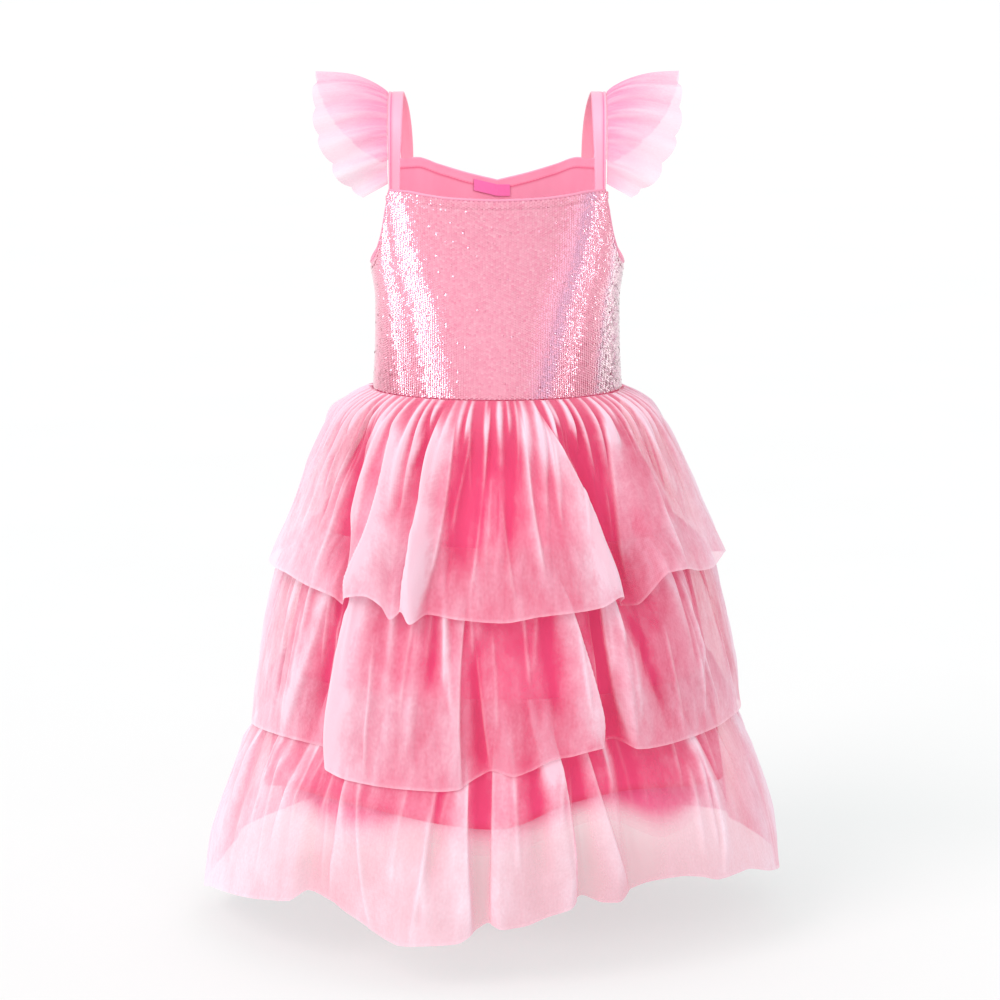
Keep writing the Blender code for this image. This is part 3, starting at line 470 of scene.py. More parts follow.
def thicken(piece, thickness):
    """Give a sheet a wall that grows inwards from its face."""
    bpy.ops.object.select_all(action="DESELECT")
    piece.select_set(True)
    bpy.context.view_layer.objects.active = piece
    wall = piece.modifiers.new("wall", "SOLIDIFY")
    wall.thickness = thickness
    wall.offset = -1.0
    wall.use_even_offset = True
    bpy.ops.object.modifier_apply(modifier=wall.name)
    bpy.ops.object.shade_smooth_by_angle(angle=math.radians(50.0))


def finish_piece(piece, material):
    """Material, slot and body of a finished piece."""
    piece.data.materials.append(material)
    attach(piece, BODY)
    return piece


ClothPoint = namedtuple("ClothPoint", "point ridge gather hem line fade")


def rows_and_marks(cloth):
    """Rows of points, and the marks of tulle by name, from rows of cloth points."""
    marks = {
        mark: [[getattr(spot, mark) for spot in row] for row in cloth]
        for mark in ClothPoint._fields[1:]
    }
    return [[spot.point for spot in row] for row in cloth], marks


def take_form(piece):
    """Corners and faces of a primitive, which is then removed."""
    mesh = piece.data
    corners = [vertex.co.copy() for vertex in mesh.vertices]
    faces = [tuple(polygon.vertices) for polygon in mesh.polygons]
    bpy.data.objects.remove(piece, do_unlink=True)
    bpy.data.meshes.remove(mesh)
    return corners, faces


def add_copy(points, cells, form, centre, axes):
    """Add one turned copy of a form to the points and faces of a joined mesh."""
    corners, faces = form
    start = len(points)
    for corner in corners:
        points.append(centre + axes[0] * corner.x + axes[1] * corner.y + axes[2] * corner.z)
    cells.extend(tuple(start + index for index in face) for face in faces)


# Shader building

NET_HOLE = 1.3 * MM
SATIN_THREAD = 0.5 * MM


def put(tree, kind, **settings):
    """Node of a kind with its settings."""
    node = tree.nodes.new(kind)
    for setting, value in settings.items():
        setattr(node, setting, value)
    return node


def join(tree, source, target):
    """Link an output, or set a plain value, on an input."""
    if isinstance(source, bpy.types.NodeSocket):
        tree.links.new(source, target)
    else:
        target.default_value = source


def sum_node(tree, operation, first, second, third=None, clamp=False):
    """Math node on one to three values."""
    node = put(tree, "ShaderNodeMath", operation=operation, use_clamp=clamp)
    for index, value in enumerate((first, second, third)):
        if value is not None:
            join(tree, value, node.inputs[index])
    return node.outputs[0]


def scaled(tree, vector, scale):
    """A vector multiplied part by part."""
    node = put(tree, "ShaderNodeVectorMath", operation="MULTIPLY")
    join(tree, vector, node.inputs[0])
    join(tree, scale, node.inputs[1])
    return node.outputs[0]


def cloudy(tree, place, scale, detail):
    """Noise at a place, from about 0 to 1, with its scale along each axis."""
    node = put(tree, "ShaderNodeTexNoise")
    join(tree, scaled(tree, place, scale), node.inputs["Vector"])
    node.inputs["Scale"].default_value = 1.0
    node.inputs["Detail"].default_value = detail
    return node.outputs["Fac"]


def average(tree, first, second):
    """Mean of two values."""
    return sum_node(tree, "MULTIPLY_ADD", first, 0.5, sum_node(tree, "MULTIPLY", second, 0.5))


def swayed(tree, tone, value, amount, clamp=False):
    """A tone moved to both sides by a value that lies round a half."""
    lowered = sum_node(tree, "SUBTRACT", tone, 0.5 * amount)
    return sum_node(tree, "MULTIPLY_ADD", value, amount, lowered, clamp)


def mixed(tree, share, first, second):
    """Colour between two colours."""
    node = put(tree, "ShaderNodeMix", data_type="RGBA")
    join(tree, share, node.inputs[0])
    join(tree, first, node.inputs[6])
    join(tree, second, node.inputs[7])
    return node.outputs[2]


def set_inputs(node, values):
    """Plain values on a node's own inputs."""
    for title, value in values.items():
        node.inputs[title].default_value = value


def add_bump(tree, shader, height, strength, distance):
    """Fine relief of a surface, from a height."""
    bump = put(tree, "ShaderNodeBump")
    set_inputs(bump, {"Strength": strength, "Distance": distance})
    join(tree, height, bump.inputs["Height"])
    join(tree, bump.outputs[0], shader.inputs["Normal"])


def mark_value(tree, name):
    """A cloth's own mark."""
    return put(tree, "ShaderNodeAttribute", attribute_name=name).outputs["Fac"]


def cloth_group(name, size_name, size, outputs):
    """Shader group laid out at a cloth's cut size, with its place, thread turns and outputs."""
    group = bpy.data.node_groups.new(name, "ShaderNodeTree")
    for title, kind, value in (
        ("Place", "NodeSocketVector", (0.0, 0.0, 0.0)),
        ("Cut size", "NodeSocketVector", (1.0, 1.0, 1.0)), (size_name, "NodeSocketFloat", size),
    ):
        socket = group.interface.new_socket(title, in_out="INPUT", socket_type=kind)
        socket.default_value = value
    for title in outputs:
        group.interface.new_socket(title, in_out="OUTPUT", socket_type="NodeSocketFloat")
    given = put(group, "NodeGroupInput")
    place = scaled(group, given.outputs["Place"], given.outputs["Cut size"])
    turns = sum_node(group, "DIVIDE", 2.0 * math.pi, given.outputs[size_name])
    return group, place, turns, put(group, "NodeGroupOutput")


def tulle_net_group():
    """Six-sided net of fine yarn, the soft streaks of gathered tulle and its crumpled clouds."""
    group, place, turns, result = cloth_group(
        "tulle net", "Hole size", NET_HOLE, ("Yarn", "Streak", "Cloud", "Crumple"),
    )
    strands = None
    for direction in (0.0, 60.0, 120.0):
        way = (math.cos(math.radians(direction)), math.sin(math.radians(direction)), 0.0)
        along = put(group, "ShaderNodeVectorMath", operation="DOT_PRODUCT")
        join(group, place, along.inputs[0])
        join(group, way, along.inputs[1])
        phase = sum_node(group, "MULTIPLY", along.outputs["Value"], turns)
        wave = sum_node(group, "COSINE", phase, None)
        strands = wave if strands is None else sum_node(group, "MAXIMUM", strands, wave)
    yarn = sum_node(group, "MULTIPLY_ADD", strands, 0.5, 0.5)
    join(group, sum_node(group, "POWER", yarn, 3.0), result.inputs["Yarn"])
    fine = cloudy(group, place, (260.0, 18.0, 1.0), 2.0)
    broad = cloudy(group, place, (80.0, 9.0, 1.0), 2.0)
    join(group, average(group, fine, broad), result.inputs["Streak"])
    join(group, cloudy(group, place, (34.0, 26.0, 1.0), 4.0), result.inputs["Cloud"])
    coarse = cloudy(group, place, (120.0, 80.0, 1.0), 3.0)
    tight = cloudy(group, place, (420.0, 330.0, 1.0), 3.0)
    join(group, average(group, coarse, tight), result.inputs["Crumple"])
    return group


def weave_group():
    """Fine woven threads as a height, and the slow change of tone of a dyed cloth."""
    group, place, turns, result = cloth_group(
        "woven cloth", "Thread", SATIN_THREAD, ("Height", "Tone"),
    )
    parts = put(group, "ShaderNodeSeparateXYZ")
    join(group, place, parts.inputs[0])
    warp, weft = (
        sum_node(group, "SINE", sum_node(group, "MULTIPLY", parts.outputs[axis], turns), None)
        for axis in ("X", "Y")
    )
    threads = sum_node(group, "MULTIPLY", warp, weft)
    slub = cloudy(group, place, (260.0, 60.0, 1.0), 3.0)
    join(group, sum_node(group, "MULTIPLY_ADD", threads, 0.35, slub), result.inputs["Height"])
    join(group, cloudy(group, place, (24.0, 16.0, 1.0), 3.0), result.inputs["Tone"])
    return group


TULLE_NET = tulle_net_group()
WEAVE = weave_group()


def group_node(tree, group, cut_size, size_name, size):
    """A cloth group placed on a piece's UV map at the cloth's cut size."""
    node = put(tree, "ShaderNodeGroup", node_tree=group)
    place = put(tree, "ShaderNodeUVMap", uv_map="cloth")
    join(tree, place.outputs["UV"], node.inputs["Place"])
    set_inputs(node, {"Cut size": (cut_size[0], cut_size[1], 1.0), size_name: size})
    return node


def new_material(name):
    """Material with its Principled shader."""
    material = bpy.data.materials.new(name)
    material.use_nodes = True
    return material, material.node_tree, material.node_tree.nodes["Principled BSDF"]


# Tulle: its colours in recesses, on ridges and in gathers, its cover in a recess, the cover that a
# ridge adds, and the colour and cover that gathers add. The colour in recesses is painted shade and
# the colour on ridges painted light.
Tulle = namedtuple("Tulle", "deep pale dense open gain gathered body")
# Pale colour of a tier's hem, and the painted highlight on the crisp edges of its folds
HEM_AND_FOLD_HIGHLIGHT_COLOUR = (0.98, 0.74, 0.82, 1.0)


def tulle_material(name, cut_size, tulle):
    """Sheer net: denser where gathered, deep and open in recesses, pale and full on ridges. The
    deep colour is painted shade, the pale colour painted light, and the pale line on crisp fold
    edges a painted highlight.
    """
    material, tree, shader = new_material(name)
    net = group_node(tree, TULLE_NET, cut_size, "Hole size", NET_HOLE)
    gather = mark_value(tree, "gather")
    tone = sum_node(tree, "MULTIPLY_ADD", mark_value(tree, "ridge"), 1.35, -0.175)
    tone = swayed(tree, tone, net.outputs["Streak"], 0.16)
    tone = swayed(tree, tone, net.outputs["Cloud"], 0.60)
    tone = swayed(tree, tone, net.outputs["Crumple"], 0.55, clamp=True)
    colour = mixed(tree, tone, tulle.deep, tulle.pale)
    gathered = sum_node(tree, "MULTIPLY", gather, tulle.gathered)
    colour = mixed(tree, gathered, colour, tulle.dense)
    # Painted highlight: the tier's hem and its crisp fold edges are mixed towards a pale colour and
    # a denser cover
    edging = sum_node(tree, "MAXIMUM", mark_value(tree, "hem"), mark_value(tree, "line"))
    uneven = sum_node(tree, "MULTIPLY", net.outputs["Cloud"], 1.1, clamp=True)
    edging = sum_node(tree, "MULTIPLY", edging, uneven)
    colour = mixed(tree, sum_node(tree, "MULTIPLY", edging, 0.6), colour, HEM_AND_FOLD_HIGHLIGHT_COLOUR)
    join(tree, colour, shader.inputs["Base Color"])
    facing = put(tree, "ShaderNodeLayerWeight")
    facing.inputs["Blend"].default_value = 0.30
    cover = sum_node(tree, "MULTIPLY_ADD", tone, tulle.gain, tulle.open)
    for value, share in (
        (gather, tulle.body), (facing.outputs["Facing"], 0.32), (edging, 0.22),
        (net.outputs["Yarn"], 0.10),
    ):
        cover = sum_node(tree, "MULTIPLY_ADD", value, share, cover)
    cover = sum_node(tree, "MULTIPLY", cover, mark_value(tree, "fade"), clamp=True)
    join(tree, cover, shader.inputs["Alpha"])
    set_inputs(shader, {
        "Roughness": 0.8, "Specular IOR Level": 0.25, "Sheen Weight": 0.3, "Sheen Roughness": 0.5,
    })
    crumple = sum_node(tree, "MULTIPLY_ADD", net.outputs["Crumple"], 0.8, net.outputs["Streak"])
    add_bump(tree, shader, crumple, 0.5, 1.2 * MM)
    return material


Satin = namedtuple("Satin", "dark light roughness sheen thread")


def satin_material(name, cut_size, satin, hem_line_and_groove_shade=None):
    """Woven satin or smooth jersey, with its threads and a darker line along the hem; on the jersey
    and the straps this darker colour is painted shade in grooves and along rolled edges.
    """
    material, tree, shader = new_material(name)
    cloth = group_node(tree, WEAVE, cut_size, "Thread", satin.thread)
    colour = mixed(tree, cloth.outputs["Tone"], satin.dark, satin.light)
    if hem_line_and_groove_shade is not None:
        colour = mixed(tree, mark_value(tree, "hem"), colour, hem_line_and_groove_shade)
    join(tree, colour, shader.inputs["Base Color"])
    set_inputs(shader, {
        "Roughness": satin.roughness, "Sheen Weight": satin.sheen, "Sheen Roughness": 0.4,
    })
    add_bump(tree, shader, cloth.outputs["Height"], 0.4, 0.15 * MM)
    return material


def sequin_material():
    """Pearly plastic: pink, with a painted reflection of lavender and pale green glint bands on the
    right side.
    """
    material, tree, shader = new_material("sequins")
    film = mark_value(tree, "film")
    plain = mixed(tree, mark_value(tree, "tone"), (0.88, 0.22, 0.36, 1.0), (0.97, 0.42, 0.54, 1.0))
    # Colours of the painted reflection bands
    ramp = put(tree, "ShaderNodeValToRGB")
    first, last = ramp.color_ramp.elements
    first.position, first.color = 0.0, (0.95, 0.38, 0.50, 1.0)
    last.position, last.color = 1.0, (0.92, 0.60, 0.67, 1.0)
    ramp.color_ramp.elements.new(0.5).color = (0.60, 0.26, 0.42, 1.0)
    join(tree, film, ramp.inputs[0])
    share = sum_node(tree, "MULTIPLY", film, 1.4, clamp=True)
    join(tree, mixed(tree, share, plain, ramp.outputs[0]), shader.inputs["Base Color"])
    set_inputs(shader, {
        "Metallic": 0.20, "Roughness": 0.16, "Coat Weight": 1.0, "Coat Roughness": 0.07,
        "Coat IOR": 1.8,
    })
    return material


# Skirt


def seam_on_lining(height):
    """Oval on which a tier is sewn to the lining."""
    share = (LINING_SEAM.height - height) / (LINING_SEAM.height - LINING_HEM.height)
    flare = curve_value(LINING_SHAPE, share)
    out = SEAM_GAP + TULLE_WALL + GATHER_DEPTHS[0].depth * (1.0 + GATHER_UNEVENNESS)
    half_width = lerp(LINING_SEAM.half_width, LINING_HEM.half_width, flare)
    half_depth = lerp(LINING_SEAM.half_depth, LINING_HEM.half_depth, flare)
    return Section(height, half_width + out, half_depth + out)


# A ridge fainter than this is left out, and one with a side narrower than this has a crisp edge
FAINTEST = 0.01
CRISP_WIDTH = 1.0


def crease_place(crease, share):
    """Angle of a crease at a share of the tier's length, through its three angles."""
    run = min(max(share, 0.0), 1.0)
    return (
        crease.top * (1.0 - run) * (1.0 - 2.0 * run)
        + crease.middle * 4.0 * run * (1.0 - run)
        + crease.foot * run * (2.0 * run - 1.0)
    )


def crease_strength(crease, share):
    """How far a crease stands out at a share: it fades in and out over its two ends."""
    length = crease.last - crease.first
    into = ease((share - crease.first + 0.02) / (0.22 * length))
    out_of = ease((crease.last - share) / (0.30 * length))
    return into * out_of


def seam_gathers(count, seed):
    """Uneven narrow gathers below a seam, as creases that fade out down the cloth."""
    chance = random.Random(seed)
    gathers = []
    step = 360.0 / count
    for number in range(count):
        top = -90.0 + step * (number + chance.uniform(-0.30, 0.30))
        drift = chance.uniform(-0.35, 0.35) * step
        reach = chance.choice((0.22, 0.32, 0.42, 0.55, 0.75, 1.05))
        width = step * chance.uniform(0.15, 0.27)
        lopsided = chance.uniform(0.6, 1.5)
        gathers.append(Crease(
            -0.10, reach, top, top + drift, top + 1.6 * drift, chance.uniform(0.65, 1.35),
            width * lopsided, width / lopsided, 0.0,
        ))
    return gathers


def stray_folds(count, seed):
    """Thin soft folds that wander down or across a tier, uneven in length and slant."""
    chance = random.Random(seed)
    folds = []
    for _ in range(count):
        top = chance.uniform(-90.0, 270.0)
        drift = chance.gauss(0.0, 4.5)
        first = chance.uniform(-0.05, 0.45)
        width = chance.uniform(0.35, 0.9)
        lopsided = chance.uniform(0.6, 1.7)
        last = first + chance.uniform(0.25, 0.7)
        middle = top + 0.5 * drift + chance.gauss(0.0, 1.2)
        rise = chance.choice((1.4, 1.8, 2.4, -1.8))
        folds.append(Crease(
            first, last, top, middle, top + drift, rise, width * lopsided, width / lopsided, 0.0,
        ))
    return folds


def row_relief(creases, gathers, share):
    """Ridges across one row of a tier: sorted angle, rise, sides, roll and crispness of each."""
    depth = curve_value(GATHER_DEPTHS, share)
    ridges = []
    for crease in creases:
        strength = crease_strength(crease, share)
        if strength <= FAINTEST:
            continue
        crisp = 0.0
        if crease.rise > 0.0 and min(crease.left, crease.right) < CRISP_WIDTH:
            crisp = min(0.35 + 0.12 * crease.rise, 1.0) * strength
        ridges.append((
            crease_place(crease, share), crease.rise * MM * strength, crease.left, crease.right,
            crease.roll * MM * strength, crisp,
        ))
    for gather in gathers:
        strength = ease((gather.last - share) / (0.6 * (gather.last - gather.first)))
        if strength > FAINTEST:
            ridges.append((
                crease_place(gather, share), 2.0 * depth * gather.rise * strength, gather.left,
                gather.right, 0.0, 0.0,
            ))
    ridges += [(ridge[0] - 360.0,) + ridge[1:] for ridge in ridges if ridge[0] > 240.0]
    ridges += [(ridge[0] + 360.0,) + ridge[1:] for ridge in ridges if -120.0 < ridge[0] < -60.0]
    return sorted(ridges), depth


# In degrees, and how many widths away a ridge's bell is taken as flat
RIDGE_REACH = 14.0
EDGE_LINE_WIDTH = 0.36
BELL_END = 2.6


def relief_at(ridges, starts, angle):
    """Rise and roll of all the ridges near an angle, and the share of a folded edge there, which
    the tulle shows as a painted highlight line.
    """
    rise = 0.0
    roll = 0.0
    line = 0.0
    index = bisect_left(starts, angle - RIDGE_REACH)
    while index < len(ridges) and starts[index] < angle + RIDGE_REACH:
        place, height, left, right, shift, crisp = ridges[index]
        offset = (angle - place) / (left if angle < place else right)
        if abs(offset) < BELL_END:
            part = math.exp(-offset * offset)
            rise += height * part
            roll += shift * part
            thin = (angle - place) / EDGE_LINE_WIDTH
            if crisp and abs(thin) < BELL_END:
                line = max(line, crisp * math.exp(-thin * thin))
        index += 1
    return rise, roll, line


BIN_ANGLE = 0.75
BIN_HEIGHT = 3.0 * MM


def turn_of(x, y):
    """Angle of a place from the centre front, from 0 to 360."""
    return math.degrees(math.atan2(x, -y)) % 360.0


class LayerRoom:
    """Least or greatest distance of a finished layer from the middle, by direction and height.

    Below the layer's hem the distance goes on growing by a slope, in metres for each metre down.
    """

    def __init__(self, rows, least, below, slope):
        self.turns = round(360.0 / BIN_ANGLE)
        self.top = max(point.z for row in rows for point in row)
        lowest = min(point.z for row in rows for point in row) - below
        self.levels = int((self.top - lowest) / BIN_HEIGHT) + 2
        pick = min if least else max
        table = [[None] * self.turns for _ in range(self.levels)]
        for upper, lower in zip(rows, rows[1:]):
            for high, low in zip(upper, lower):
                steps = int(1.5 * abs(high.z - low.z) / BIN_HEIGHT) + 1
                for step in range(steps + 1):
                    point = high.lerp(low, step / steps)
                    level = int((self.top - point.z) / BIN_HEIGHT)
                    turn = int(turn_of(point.x, point.y) / BIN_ANGLE) % self.turns
                    size = math.hypot(point.x, point.y)
                    known = table[level][turn]
                    table[level][turn] = size if known is None else pick(known, size)
        for level, row in enumerate(table):
            near = []
            for turn in range(self.turns):
                beside = [row[(turn + step) % self.turns] for step in (-2, -1, 0, 1, 2)]
                known = [size for size in beside if size is not None]
                near.append(pick(known) if known else None)
            if level > 0:
                above = table[level - 1]
                near = [
                    over + slope * BIN_HEIGHT if size is None and over is not None else size
                    for size, over in zip(near, above)
                ]
            table[level] = near
        for level in range(self.levels - 2, -1, -1):
            table[level] = [
                under if value is None else value
                for value, under in zip(table[level], table[level + 1])
            ]
        self.table = [[self.smooth(row, turn) for turn in range(self.turns)] for row in table]

    def smooth(self, row, turn):
        """Weighted mean of a row's distances round one of them."""
        after = row[(turn + 1) % self.turns]
        last = row[(turn + 2) % self.turns]
        return (row[turn - 2] + 2.0 * row[turn - 1] + 3.0 * row[turn] + 2.0 * after + last) / 9.0

    def at(self, x, y, height):
        """Distance at a place, or None above or below what the table covers."""
        level = (self.top - height) / BIN_HEIGHT - 0.5
        if level < -1.0 or level > self.levels - 2:
            return None
        level = max(level, 0.0)
        turn = turn_of(x, y) / BIN_ANGLE - 0.5
        low = int(level)
        left = math.floor(turn)
        across = turn - left
        down = level - low
        left %= self.turns
        right = (left + 1) % self.turns
        upper = self.table[low]
        lower = self.table[min(low + 1, self.levels - 1)]
        above = upper[left] * (1.0 - across) + upper[right] * across
        under = lower[left] * (1.0 - across) + lower[right] * across
        return above * (1.0 - down) + under * down


# Clearances of a layer from the one under it and the one over it, and how far the room that it
# leaves goes on below its hem, and at what slope
FLOOR_CLEARANCE = 0.7 * MM
LAYER_CLEARANCE = 2.0 * MM
LAYER_ROOM_BELOW = 90.0 * MM
LAYER_ROOM_SLOPE = 0.7
# Width of the hem's line, how closely rows crowd at the seam, the share of a tier's length over
# which its gathers are dense, and the share of their depth at which they lie on average
HEM_LINE = 1.6 * MM
ROW_CROWDING = 1.2
GATHERS_REACH = 0.32
MEAN_GATHER = 0.85


def unevenness(place, share, seed):
    """Small slow bumps of a layer that hangs free, in metres."""
    broad = noise.noise(Vector((place * 0.11, share * 5.0, seed)))
    small = noise.noise(Vector((place * 0.5, share * 9.0, seed)))
    return (0.9 * broad + 0.5 * small) * MM * min(share * 6.0, 1.0)


def keep_between(point, height, floor, roof):
    """Move a point in or out until it clears the layer under it and the one over it."""
    reach = math.hypot(point.x, point.y)
    free = reach
    if floor:
        least = floor.at(point.x, point.y, height)
        if least is not None:
            free = max(free, least + FLOOR_CLEARANCE)
    if roof:
        most = roof.at(point.x, point.y, height)
        if most is not None:
            free = min(free, most - LAYER_CLEARANCE)
    if free != reach:
        point.x *= free / reach
        point.y *= free / reach


def paleness_and_painted_light(layer, place, share, out, rise):
    """How pale a tier is at a place: paler at the flanks, on ridges and folds, and low down. The
    flanks, ridges and folds are painted light, grooves and recesses painted shade, and the left
    side is painted lighter than the right, where the key light comes from.
    """
    flank = 0.5 - 0.5 * math.cos(2.0 * math.radians(place))
    steep = min(max(rise / MM, -1.0), 2.4) * (1.0 - ease(share / 0.45))
    relief = 0.066 * rise / MM + 0.15 * steep
    pale = 0.30 + 0.38 * flank - 0.06 * math.sin(math.radians(place))
    return min(max(pale + out * 0.018 + relief + layer.pale * share, 0.0), 1.0)


def layer_grid(layer, creases, seed, floor, roof):
    """Points of a skirt layer with its folds, creases and gathers, and the marks of its cloth."""
    outs, drops, leans = (fold_curve(layer.folds, value) for value in ("out", "drop", "lean"))
    columns = [
        (angle, curve_value(outs, angle), curve_value(drops, angle), curve_value(leans, angle))
        for angle in (-90.0 + 360.0 * column / layer.columns for column in range(layer.columns))
    ]
    gathers = seam_gathers(layer.gathers, seed) if layer.gathers else ()
    cloth = []
    for step in range(layer.rows + 1):
        share = (step / layer.rows) ** ROW_CROWDING
        flare = curve_value(layer.shape, share)
        level = lerp(layer.seam.height, layer.hem.height, share)
        base_width = lerp(layer.seam.half_width, layer.hem.half_width, flare)
        base_depth = lerp(layer.seam.half_depth, layer.hem.half_depth, flare)
        ridges, depth = row_relief(creases, gathers, share)
        if layer.gathers:
            opened = min(share / layer.onset, 1.0)
            hang = share
            gather = 1.0 - ease(share / GATHERS_REACH)
            fade = 1.0
            sunk = depth * MEAN_GATHER
        else:
            opened = max(share - layer.onset, 0.0) / (1.0 - layer.onset)
            hang = opened
            gather = 1.0 - ease((share - 0.6) / 0.55)
            fade = 1.0 - 0.82 * ease((share - 0.74) / 0.26)
            sunk = 0.0
        above_hem = (1.0 - share) * (layer.seam.height - layer.hem.height)
        hem = 1.0 if above_hem < HEM_LINE else 0.0
        starts = [ridge[0] for ridge in ridges]
        row = []
        for angle, out, drop, lean in columns:
            place = angle + lean * (1.0 - share)
            height = level - drop * MM * hang
            rise, roll, line = relief_at(ridges, starts, place)
            rise += unevenness(place, share, seed) - sunk
            size = out * MM * opened + rise
            turn = place + math.degrees(roll / base_width)
            point = plan_point(base_width + size, base_depth + size, turn, height)
            keep_between(point, height, floor, roof)
            # The ridge mark is painted light and shade: the tulle's pale and deep colours follow it
            ridge = paleness_and_painted_light(layer, place, share, out * opened, rise)
            row.append(ClothPoint(point, ridge, gather, hem, line, fade))
        cloth.append(row)
    return rows_and_marks(cloth)


TIER_TULLE = Tulle(
    deep=(0.97, 0.085, 0.225, 1.0), pale=(0.98, 0.715, 0.835, 1.0), dense=(0.98, 0.62, 0.75, 1.0),
    open=0.21, gain=0.44, gathered=0.22, body=0.16,
)
UNDER_TULLE = TIER_TULLE._replace(dense=(0.97, 0.22, 0.40, 1.0), gathered=0.6, body=0.02)
SLEEVE_TULLE = Tulle(
    deep=(0.97, 0.38, 0.61, 1.0), pale=(0.99, 0.74, 0.86, 1.0), dense=(0.98, 0.20, 0.44, 1.0),
    open=0.32, gain=0.24, gathered=0.75, body=0.16,
)
PETTICOAT_TULLE = Tulle(
    deep=(0.97, 0.30, 0.52, 1.0), pale=(0.98, 0.52, 0.70, 1.0), dense=(0.96, 0.12, 0.33, 1.0),
    open=0.18, gain=0.16, gathered=0.9, body=0.75,
)
LINING_SATIN = Satin(
    dark=(0.95, 0.055, 0.215, 1.0), light=(0.98, 0.085, 0.270, 1.0), roughness=0.55, sheen=0.08,
    thread=0.6 * MM,
)


def skirt():
    """Lining, petticoat and the three tiers, each kept between the layers under and over it."""
    lining = Layer(
        "lining_cloth", LINING_SEAM, LINING_HEM, LINING_SHAPE, LINING_FOLDS, 0, LINING_FOLD_ONSET,
        480, 60, 0.0,
    )
    rows, marks = layer_grid(lining, (), 5.0, None, None)
    piece = grid_cloth(lining.name, rows, True, marks)
    thicken(piece, LINING_CLOTH)
    satin = satin_material("lining satin", (1.24, 0.40), LINING_SATIN, (0.80, 0.05, 0.16, 1.0))
    finish_piece(piece, satin)
    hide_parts("skirt_lining")
    floor = LayerRoom(rows, False, 0.0, -1.0)
    under_lining = LayerRoom(rows, True, LAYER_ROOM_BELOW, LAYER_ROOM_SLOPE)

    share = PETTICOAT_SEAM_SHARE
    flare = curve_value(LINING_SHAPE, share)
    petticoat_seam = Section(
        lerp(LINING_SEAM.height, LINING_HEM.height, share),
        lerp(LINING_SEAM.half_width, LINING_HEM.half_width, flare) - PETTICOAT_SEAM_INSET,
        lerp(LINING_SEAM.half_depth, LINING_HEM.half_depth, flare) - PETTICOAT_SEAM_INSET,
    )
    petticoat = Layer(
        "petticoat_net", petticoat_seam, PETTICOAT_HEM, (Shape(0.0, 0.0), Shape(1.0, 1.0)),
        PETTICOAT_FOLDS, 0, 0.0, 420, 24, 0.0,
    )
    inside, marks = layer_grid(petticoat, (), 9.0, None, under_lining)
    piece = grid_cloth(petticoat.name, inside, True, marks)
    finish_piece(piece, tulle_material("petticoat net", (1.20, 0.11), PETTICOAT_TULLE))
    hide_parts("petticoat")

    waist = bodice_point(90.0, WAIST_HEIGHT, 0.0).x
    waist_front = -bodice_point(0.0, WAIST_HEIGHT, 0.0).y
    waist_out = GATHER_DEPTHS[0].depth * (1.0 + GATHER_UNEVENNESS) - 0.1 * MM
    waist_seam = Section(WAIST_HEIGHT - SEAM_GAP, waist + waist_out, waist_front + waist_out)
    tiers = (
        ("tier_1", waist_seam, TIER_1_HEM, TIER_1_SHAPE, TIER_1_FOLDS, 76,
         TIER_1_CREASES, (1.50, 0.19), 0.16),
        ("tier_2", seam_on_lining(TIER_2_SEAM_HEIGHT), TIER_2_HEM, TIER_2_SHAPE, TIER_2_FOLDS, 48,
         TIER_2_CREASES, (1.70, 0.205), 0.08),
        ("tier_3", seam_on_lining(TIER_3_SEAM_HEIGHT), TIER_3_HEM, TIER_3_SHAPE, TIER_3_FOLDS, 52,
         TIER_3_CREASES, (1.90, 0.215), 0.12),
    )
    roof = None
    for number, tier in enumerate(tiers):
        name, seam, hem, shape, folds, gathers, creases, cut, pale = tier
        layer = Layer(
            name, seam, hem, shape, folds, gathers, FOLD_ONSET, TIER_COLUMNS, TIER_ROWS, pale,
        )
        tulle = UNDER_TULLE if number else TIER_TULLE
        folded = creases + tuple(stray_folds(70, 30 + number))
        rows, marks = layer_grid(layer, folded, 20.0 + number, floor, roof)
        piece = grid_cloth(name + "_tulle", rows, True, marks)
        finish_piece(piece, tulle_material(name.replace("_", " ") + " tulle", cut, tulle))
        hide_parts(name)
        roof = LayerRoom(rows, True, LAYER_ROOM_BELOW, LAYER_ROOM_SLOPE)


# Bodice


# Rows of a panel: metres below its top edge down to TOP_BAND, then shares of the rest, counted on
# from TOP_BAND to 1
TOP_BAND = 0.012
LOWER_ROWS = 44
PANEL_SPACING = tuple(x * MM for x in (0.0, 0.8, 2.0, 4.0, 6.0, 7.4, 8.2, 9.0, 10.4, 12.0)) + tuple(
    TOP_BAND + (1.0 - TOP_BAND) * step / LOWER_ROWS for step in range(1, LOWER_ROWS + 1)
)
STITCH_DEPTH = 8.2 * MM
FRONT_CLOTH = 1.2 * MM
BACK_CLOTH = 1.5 * MM


def edge_rows(first, last, columns, outset):
    """Rows of a bodice panel from its top edge down to the waist, close together near the edge."""
    rows = []
    for below in PANEL_SPACING:
        row = []
        for column in range(columns + 1):
            angle = lerp(first, last, column / columns)
            height = top_edge_height(angle)
            if below <= TOP_BAND:
                height -= below
            else:
                share = (below - TOP_BAND) / (1.0 - TOP_BAND)
                height = lerp(height - TOP_BAND, WAIST_HEIGHT, share)
            row.append(bodice_point(angle, height, -outset(below)))
        rows.append(row)
    return rows


def flat_marks(rows):
    """Marks of a plain cloth: no hem line."""
    return {"hem": [[0.0] * len(row) for row in rows]}


def stitch_groove(below, width):
    """Depth of the groove where a hem is stitched, from 0 to 1, at a distance below the edge."""
    return math.exp(-(((below - STITCH_DEPTH) / width) ** 2))


